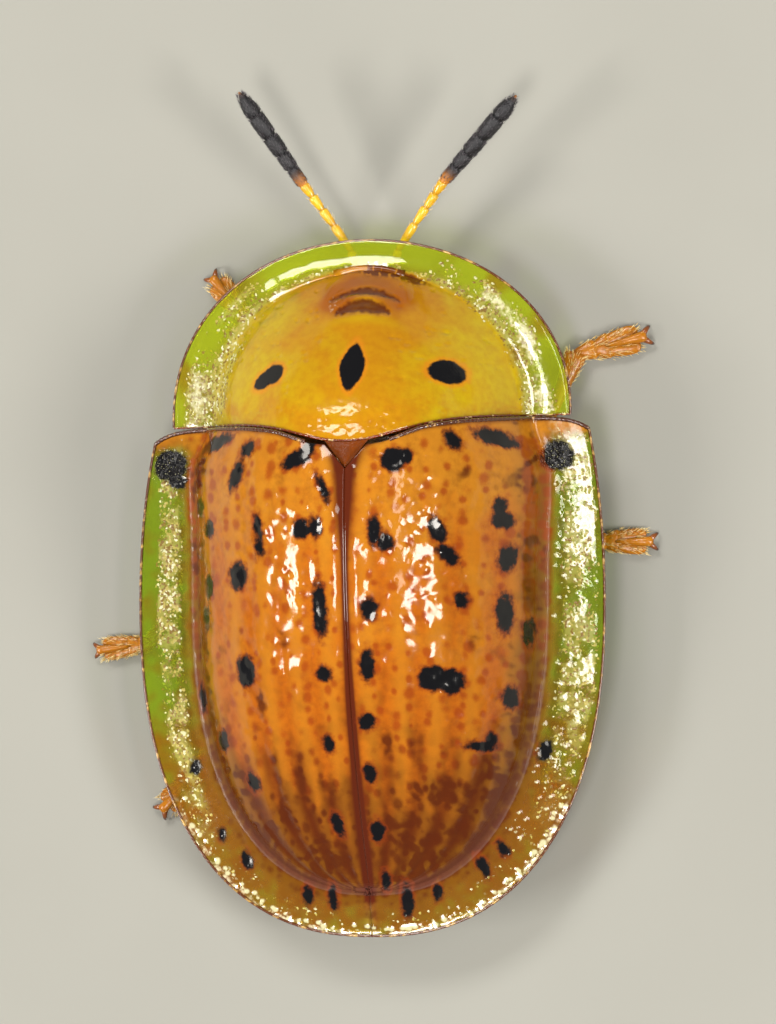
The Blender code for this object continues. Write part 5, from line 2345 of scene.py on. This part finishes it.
@dataclass
class Leg:
    """One leg: hip, thigh, shin, four-part foot with two lobes, bristles and claws."""

    name: str
    side: Side
    hip: Plan
    knee: Plan
    ankle: Plan
    tip: Plan
    hip_z: float = 0.42
    knee_z: float = 0.40
    ankle_z: float = 0.19
    foot_z: float = 0.115
    foot_length: float = 1.12
    sole_bristles: int = 170
    top_bristles: int = 120
    shin_bristles: int = 170

    def point(self, place: Plan, z: float) -> Vector:
        """A joint's place on this leg's side."""
        return Vector((place[0] * self.side.value, place[1], z))

    def stretched(self, pattern: Piece, start: Vector, end: Vector) -> Piece:
        """A copy of a pattern whose unit length is stretched from start to end."""
        scale = Matrix.Diagonal((1.0, 1.0, (end - start).length, 1.0))
        return Bench.placed(pattern, aim(start, end) @ scale)

    def thigh(self, patterns: LegPatterns) -> Piece:
        """Hip and thigh.

        Args:
            patterns: The limb pieces to copy.

        Returns:
            The piece, in millimetres.
        """
        hip, knee = self.point(self.hip, self.hip_z), self.point(self.knee, self.knee_z)
        ahead = Vector((knee.x - hip.x, knee.y - hip.y, 0.0)).normalized()
        turn = Matrix.Rotation(math.atan2(ahead.y, ahead.x), 4, "Z")
        base = Matrix.Translation(hip + Vector((0, 0, 0.12)) - ahead * 0.05)
        coxa = Bench.placed(patterns.coxa, base @ turn)
        thigh = self.stretched(patterns.femur, hip - ahead * 0.08, knee)
        return Bench.joined(f"leg_{self.name}_thigh", [thigh, coxa])

    def shin(self, patterns: LegPatterns) -> Piece:
        """Shin, broad at its outer end.

        Args:
            patterns: The limb pieces to copy.

        Returns:
            The piece, in millimetres.
        """
        knee = self.point(self.knee, self.knee_z)
        ankle = self.point(self.ankle, self.ankle_z)
        piece = self.stretched(patterns.tibia, knee, ankle)
        piece.name = f"leg_{self.name}_shin"
        return piece

    def foot_frame(self) -> tuple[Matrix, float]:
        """The foot's own frame at the ankle, forward along Z, and its scale."""
        start, end = self.point(self.ankle, self.foot_z), self.point(self.tip, self.foot_z)
        return aim(start, end), (end - start).length / self.foot_length

    def foot(self, patterns: LegPatterns) -> Piece:
        """The four visible joints of the foot.

        Args:
            patterns: The limb pieces to copy.

        Returns:
            The piece, in millimetres.
        """
        base, scale = self.foot_frame()
        base = base @ Matrix.Scale(scale, 4)
        chain = (
            (patterns.first_joint, (0.0, 0.02, 0.0)),
            (patterns.second_joint, (0.0, 0.0, 0.225)),
            (patterns.claw_joint, (0.0, 0.035, 0.50)),
        )
        parts = [Bench.placed(joint, base @ Matrix.Translation(place)) for joint, place in chain]
        for sign in (1.0, -1.0):
            spread = Matrix.Translation((0.060 * sign, -0.008, 0.44)) @ Matrix.Diagonal((sign, 1.0, 1.0, 1.0))
            parts.append(Bench.placed(patterns.lobe, base @ spread))
        return Bench.joined(f"leg_{self.name}_foot", parts)

    def claws(self, patterns: LegPatterns) -> Piece:
        """The two claws.

        Args:
            patterns: The limb pieces to copy.

        Returns:
            The piece, in millimetres.
        """
        base, scale = self.foot_frame()
        base = base @ Matrix.Scale(scale, 4)
        made = []
        for sign in (1.0, -1.0):
            root = Matrix.Translation((0.042 * sign, 0.045, 0.975))
            turn = Matrix.Rotation(sign * math.radians(42), 4, "Y")
            made.append(Bench.placed(patterns.claw, base @ root @ turn))
        return Bench.joined(f"leg_{self.name}_claws", made)

    def brush_sole(self, patch: Bristles, draw: Draw) -> None:
        """Grows the brushes under the foot, their tips raised where they would reach the floor.

        Args:
            patch: The bristles to add to.
            draw: Draws the random numbers.
        """
        base, scale = self.foot_frame()
        for first, last, half in ((0.06, 0.26, 0.11), (0.26, 0.46, 0.16), (0.46, 0.92, 0.20)):
            for _ in range(self.sole_bristles):
                along, across = draw.uniform(first, last), draw.uniform(-1.0, 1.0) * half
                if first > 0.4 and abs(across) < 0.03 + 0.05 * (along - 0.48):
                    continue
                root = base @ (Vector((across, -0.045, along)) * scale)
                out = base.to_3x3() @ Vector((across * 1.6, -0.5, 0.35 + draw.normal(0, 0.15)))
                patch.grow_above_floor(root, root + out.normalized() * 0.085 * draw.uniform(0.7, 1.2))

    def cover_foot(self, patch: Bristles, draw: Draw) -> None:
        """Grows the bristles over the foot.

        Args:
            patch: The bristles to add to.
            draw: Draws the random numbers.
        """
        base, scale = self.foot_frame()
        for _ in range(self.top_bristles):
            along, angle = draw.uniform(0.05, 0.92), draw.uniform(0.15, math.pi - 0.15)
            half = 0.12 + 0.07 * along
            root = base @ (Vector((math.cos(angle) * half, 0.02 + math.sin(angle) * 0.045, along)) * scale)
            out = base.to_3x3() @ Vector((math.cos(angle) * 0.5, 0.45, 0.9))
            patch.grow(root, root + out.normalized() * 0.10 * draw.uniform(0.6, 1.1))

    def cover_shin(self, patch: Bristles, draw: Draw) -> None:
        """Grows the bristles round the shin, most of them at its outer end.

        Args:
            patch: The bristles to add to.
            draw: Draws the random numbers.
        """
        knee, ankle = self.point(self.knee, self.knee_z), self.point(self.ankle, self.ankle_z)
        shin = aim(knee, ankle)
        for _ in range(self.shin_bristles):
            share, angle = 1.0 - abs(draw.normal(0.0, 0.20)), draw.uniform(0.0, 2.0 * math.pi)
            if share < 0.3:
                continue
            half = 0.085 + 0.07 * max(0.0, share - 0.5) / 0.5
            across, over = math.cos(angle), math.sin(angle)
            root = shin @ Vector((across * half, over * half * 0.7, share * (ankle - knee).length))
            way = shin.to_3x3() @ Vector((across * 0.6, over * 0.6, 0.9))
            patch.grow_above_floor(root, root + way.normalized() * 0.085 * draw.uniform(0.6, 1.2))

    def bristles(self) -> Piece:
        """Golden brushes under the foot, bristles over it and at the shin's end.

        Returns:
            The piece, in millimetres.
        """
        draw = np.random.default_rng(sum(map(ord, self.name)))
        patch = Bristles(f"leg_{self.name}_bristles", thick=0.0050)
        for grow in (self.brush_sole, self.cover_foot, self.cover_shin):
            grow(patch, draw)
        return patch.build()

    def build(self, patterns: LegPatterns, finishes: Finishes) -> None:
        """Builds and delivers the leg.

        Args:
            patterns: The limb pieces to copy.
            finishes: The finishes of all pieces.
        """
        node = f"leg_{self.name}_"
        for piece, finish, part in (
            (self.thigh(patterns), finishes.leg, "femur"),
            (self.shin(patterns), finishes.leg, "tibia"),
            (self.foot(patterns), finishes.leg, "tarsus"),
            (self.claws(patterns), finishes.claw, "tarsus"),
            (self.bristles(), finishes.gold_hair, "tarsus"),
        ):
            Bench.deliver(piece, finish, "leg", [node + part])


# Marks of the wing cases, at their pixels in the photograph

LEFT_SPOTS = marks(
    (171, 466, 30, 34, 0, 2.4), (178, 481, 16, 18), (216, 444, 38, 12, 68), (249, 449, 15, 12, 30),
    (237, 476, 30, 11, 22), (297, 459, 30, 15, 62), (309, 448, 15, 13), (323, 488, 25, 8, -28),
    (200, 507, 16, 11), (210, 529, 15, 12), (259, 528, 22, 9, -8), (260, 546, 20, 9), (301, 529, 18, 16),
    (315, 527, 18, 13), (239, 576, 26, 18), (210, 586, 20, 10), (320, 608, 48, 14), (207, 618, 20, 9),
    (247, 671, 30, 19), (325, 673, 13, 15), (204, 698, 24, 9), (224, 740, 20, 11), (329, 744, 15, 12),
    (254, 782, 18, 12, -20), (195, 767, 14, 12), (338, 824, 22, 11, -15), (222, 834, 12, 9),
    (247, 860, 18, 10, -15), (308, 896, 18, 10), (333, 898, 22, 10),
)
LEFT_SHADES = marks(
    (280, 479, 11, 10), (196, 552, 26, 12), (275, 757, 20, 14), (291, 820, 18, 14), (319, 814, 22, 14),
    (344, 862, 30, 12), (262, 700, 30, 12), (300, 700, 26, 10), (240, 640, 22, 10), (285, 640, 20, 10),
    (232, 800, 24, 12), (300, 770, 34, 14), (196, 490, 16, 10), (203, 548, 24, 8), (206, 640, 26, 8),
    (206, 668, 22, 8), (212, 722, 20, 9),
)
RIGHT_SPOTS = marks(
    (558, 455, 28, 28, 0, 2.4), (393, 459, 22, 22), (405, 457, 12, 12, 90), (452, 439, 19, 11, -30),
    (495, 438, 36, 13, 110), (499, 507, 16, 11), (503, 520, 16, 17), (374, 531, 24, 12),
    (385, 542, 16, 15), (436, 529, 28, 13, -22), (447, 554, 24, 12, -42), (507, 558, 24, 14, 12),
    (369, 609, 20, 16), (461, 600, 14, 12), (504, 613, 36, 13), (529, 632, 24, 9), (367, 664, 28, 13),
    (432, 678, 24, 26), (450, 681, 24, 24), (510, 697, 20, 13), (480, 746, 24, 9, 95), (491, 741, 14, 8),
    (545, 750, 20, 12, 20), (367, 721, 16, 15), (370, 772, 18, 11), (378, 830, 20, 13),
    (503, 849, 16, 10, -30), (484, 868, 20, 9, -25), (438, 892, 14, 8), (408, 902, 32, 11),
    (386, 880, 16, 9),
)
RIGHT_SHADES = marks(
    (465, 472, 14, 12), (524, 486, 20, 10), (388, 744, 18, 12), (445, 792, 30, 52), (487, 799, 22, 22),
    (399, 836, 20, 14), (462, 830, 22, 30, 60), (430, 840, 20, 20), (525, 580, 60, 12, 8),
    (532, 700, 70, 10, 4), (474, 640, 18, 12), (415, 745, 30, 12), (510, 780, 30, 14), (540, 600, 30, 9),
)


# Studio


@dataclass(frozen=True)
class Softbox:
    """A soft lamp over the beetle: its lean from upright, turn round the beetle, size and power."""

    name: str
    lean_deg: float
    turn_deg: float
    wide: float
    long: float
    power: float
    distance: float = 0.75
    colour: Colour = (1.0, 0.98, 0.95)

    def build(self) -> None:
        """Makes the lamp, facing the beetle."""
        lean, turn = math.radians(self.lean_deg), math.radians(self.turn_deg)
        way = Vector((math.sin(lean) * math.cos(turn), math.sin(lean) * math.sin(turn), math.cos(lean)))
        data = bpy.data.lights.new(self.name, "AREA")
        data.shape = "RECTANGLE"
        data.size, data.size_y = self.wide, self.long
        data.energy = self.power
        data.color = self.colour
        made = Bench.added(self.name, data)
        made.location = way * self.distance
        made.rotation_mode = "QUATERNION"
        made.rotation_quaternion = way.to_track_quat("Z", "Y")


@dataclass
class Studio:
    """Pale floor, soft light and the camera."""

    floor_size: float = 6.0
    sky: Colour = (0.96, 0.97, 0.96)
    sky_strength: float = 0.22
    lamps: Sequence[Softbox] = (
        Softbox("lamp_left", 53.0, 17.0, 0.28, 0.16, 4.5),
        Softbox("lamp_right", 52.0, 163.0, 0.28, 0.16, 4.5),
        Softbox("lamp_over", 18.0, 76.0, 0.30, 0.40, 10.2, 1.4),
        Softbox("lamp_front", 42.0, -66.0, 0.40, 0.18, 3.9),
        Softbox("lamp_near", 28.0, 186.0, 0.46, 0.09, 1.3),
    )

    def build(self) -> None:
        """Builds the studio."""
        Bench.clear()
        bpy.ops.mesh.primitive_plane_add(size=self.floor_size)
        floor = bpy.context.object
        floor.name = "floor"
        floor.data.materials.append(FloorFinish().material())
        world = bpy.data.worlds.new("studio")
        world.use_nodes = True
        backdrop = world.node_tree.nodes["Background"]
        backdrop.inputs["Color"].default_value = (*self.sky, 1.0)
        backdrop.inputs["Strength"].default_value = self.sky_strength
        bpy.context.scene.world = world
        bpy.context.scene.view_settings.view_transform = "Standard"
        for lamp in self.lamps:
            lamp.build()
        PHOTO.camera()


ANTENNAE = (
    Antenna(Side.LEFT, ((0.24, -3.14, 0.62), (0.34, -3.80, 0.66), (1.06, -4.80, 0.84), (1.90, -6.05, 1.14))),
    Antenna(Side.RIGHT, ((0.24, -3.14, 0.62), (0.34, -3.80, 0.66), (1.02, -4.75, 0.84), (2.13, -5.98, 1.14))),
)

LEGS = (
    Leg("front_left", Side.LEFT, (0.55, -1.75), (2.35, -1.55), (1.86, -2.72), (2.53, -3.49)),
    Leg("front_right", Side.RIGHT, (0.55, -1.75), (2.42, -1.15), (2.86, -2.30), (3.98, -2.58)),
    Leg("middle_left", Side.LEFT, (0.80, -0.25), (2.48, 0.85), (3.30, 1.87), (4.24, 1.99)),
    Leg("middle_right", Side.RIGHT, (0.80, -0.25), (2.48, -0.55), (3.03, 0.40), (4.07, 0.40)),
    Leg("hind_left", Side.LEFT, (0.85, 1.25), (2.30, 2.40), (2.50, 3.60), (3.28, 4.37)),
    Leg("hind_right", Side.RIGHT, (0.85, 1.25), (2.35, 2.25), (2.30, 3.42), (2.42, 4.40)),
)


def main() -> None:
    """Builds the beetle around the frame, then the studio."""
    logging.basicConfig(level=logging.INFO, format="%(message)s")
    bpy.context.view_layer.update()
    finishes = Finishes()
    patterns = LegPatterns()
    for leg in LEGS:
        leg.build(patterns, finishes)
    patterns.put_away()
    for antenna in ANTENNAE:
        antenna.build(finishes)
    Head().build(finishes)
    Trunk().build(finishes)
    Scutellum().build(finishes)
    Pronotum().build(finishes)
    WingCase(Side.LEFT, LEFT_SPOTS, LEFT_SHADES).build(finishes)
    WingCase(Side.RIGHT, RIGHT_SPOTS, RIGHT_SHADES).build(finishes)
    Studio().build()
    Bench.clear()


if __name__ == "__main__":
    main()
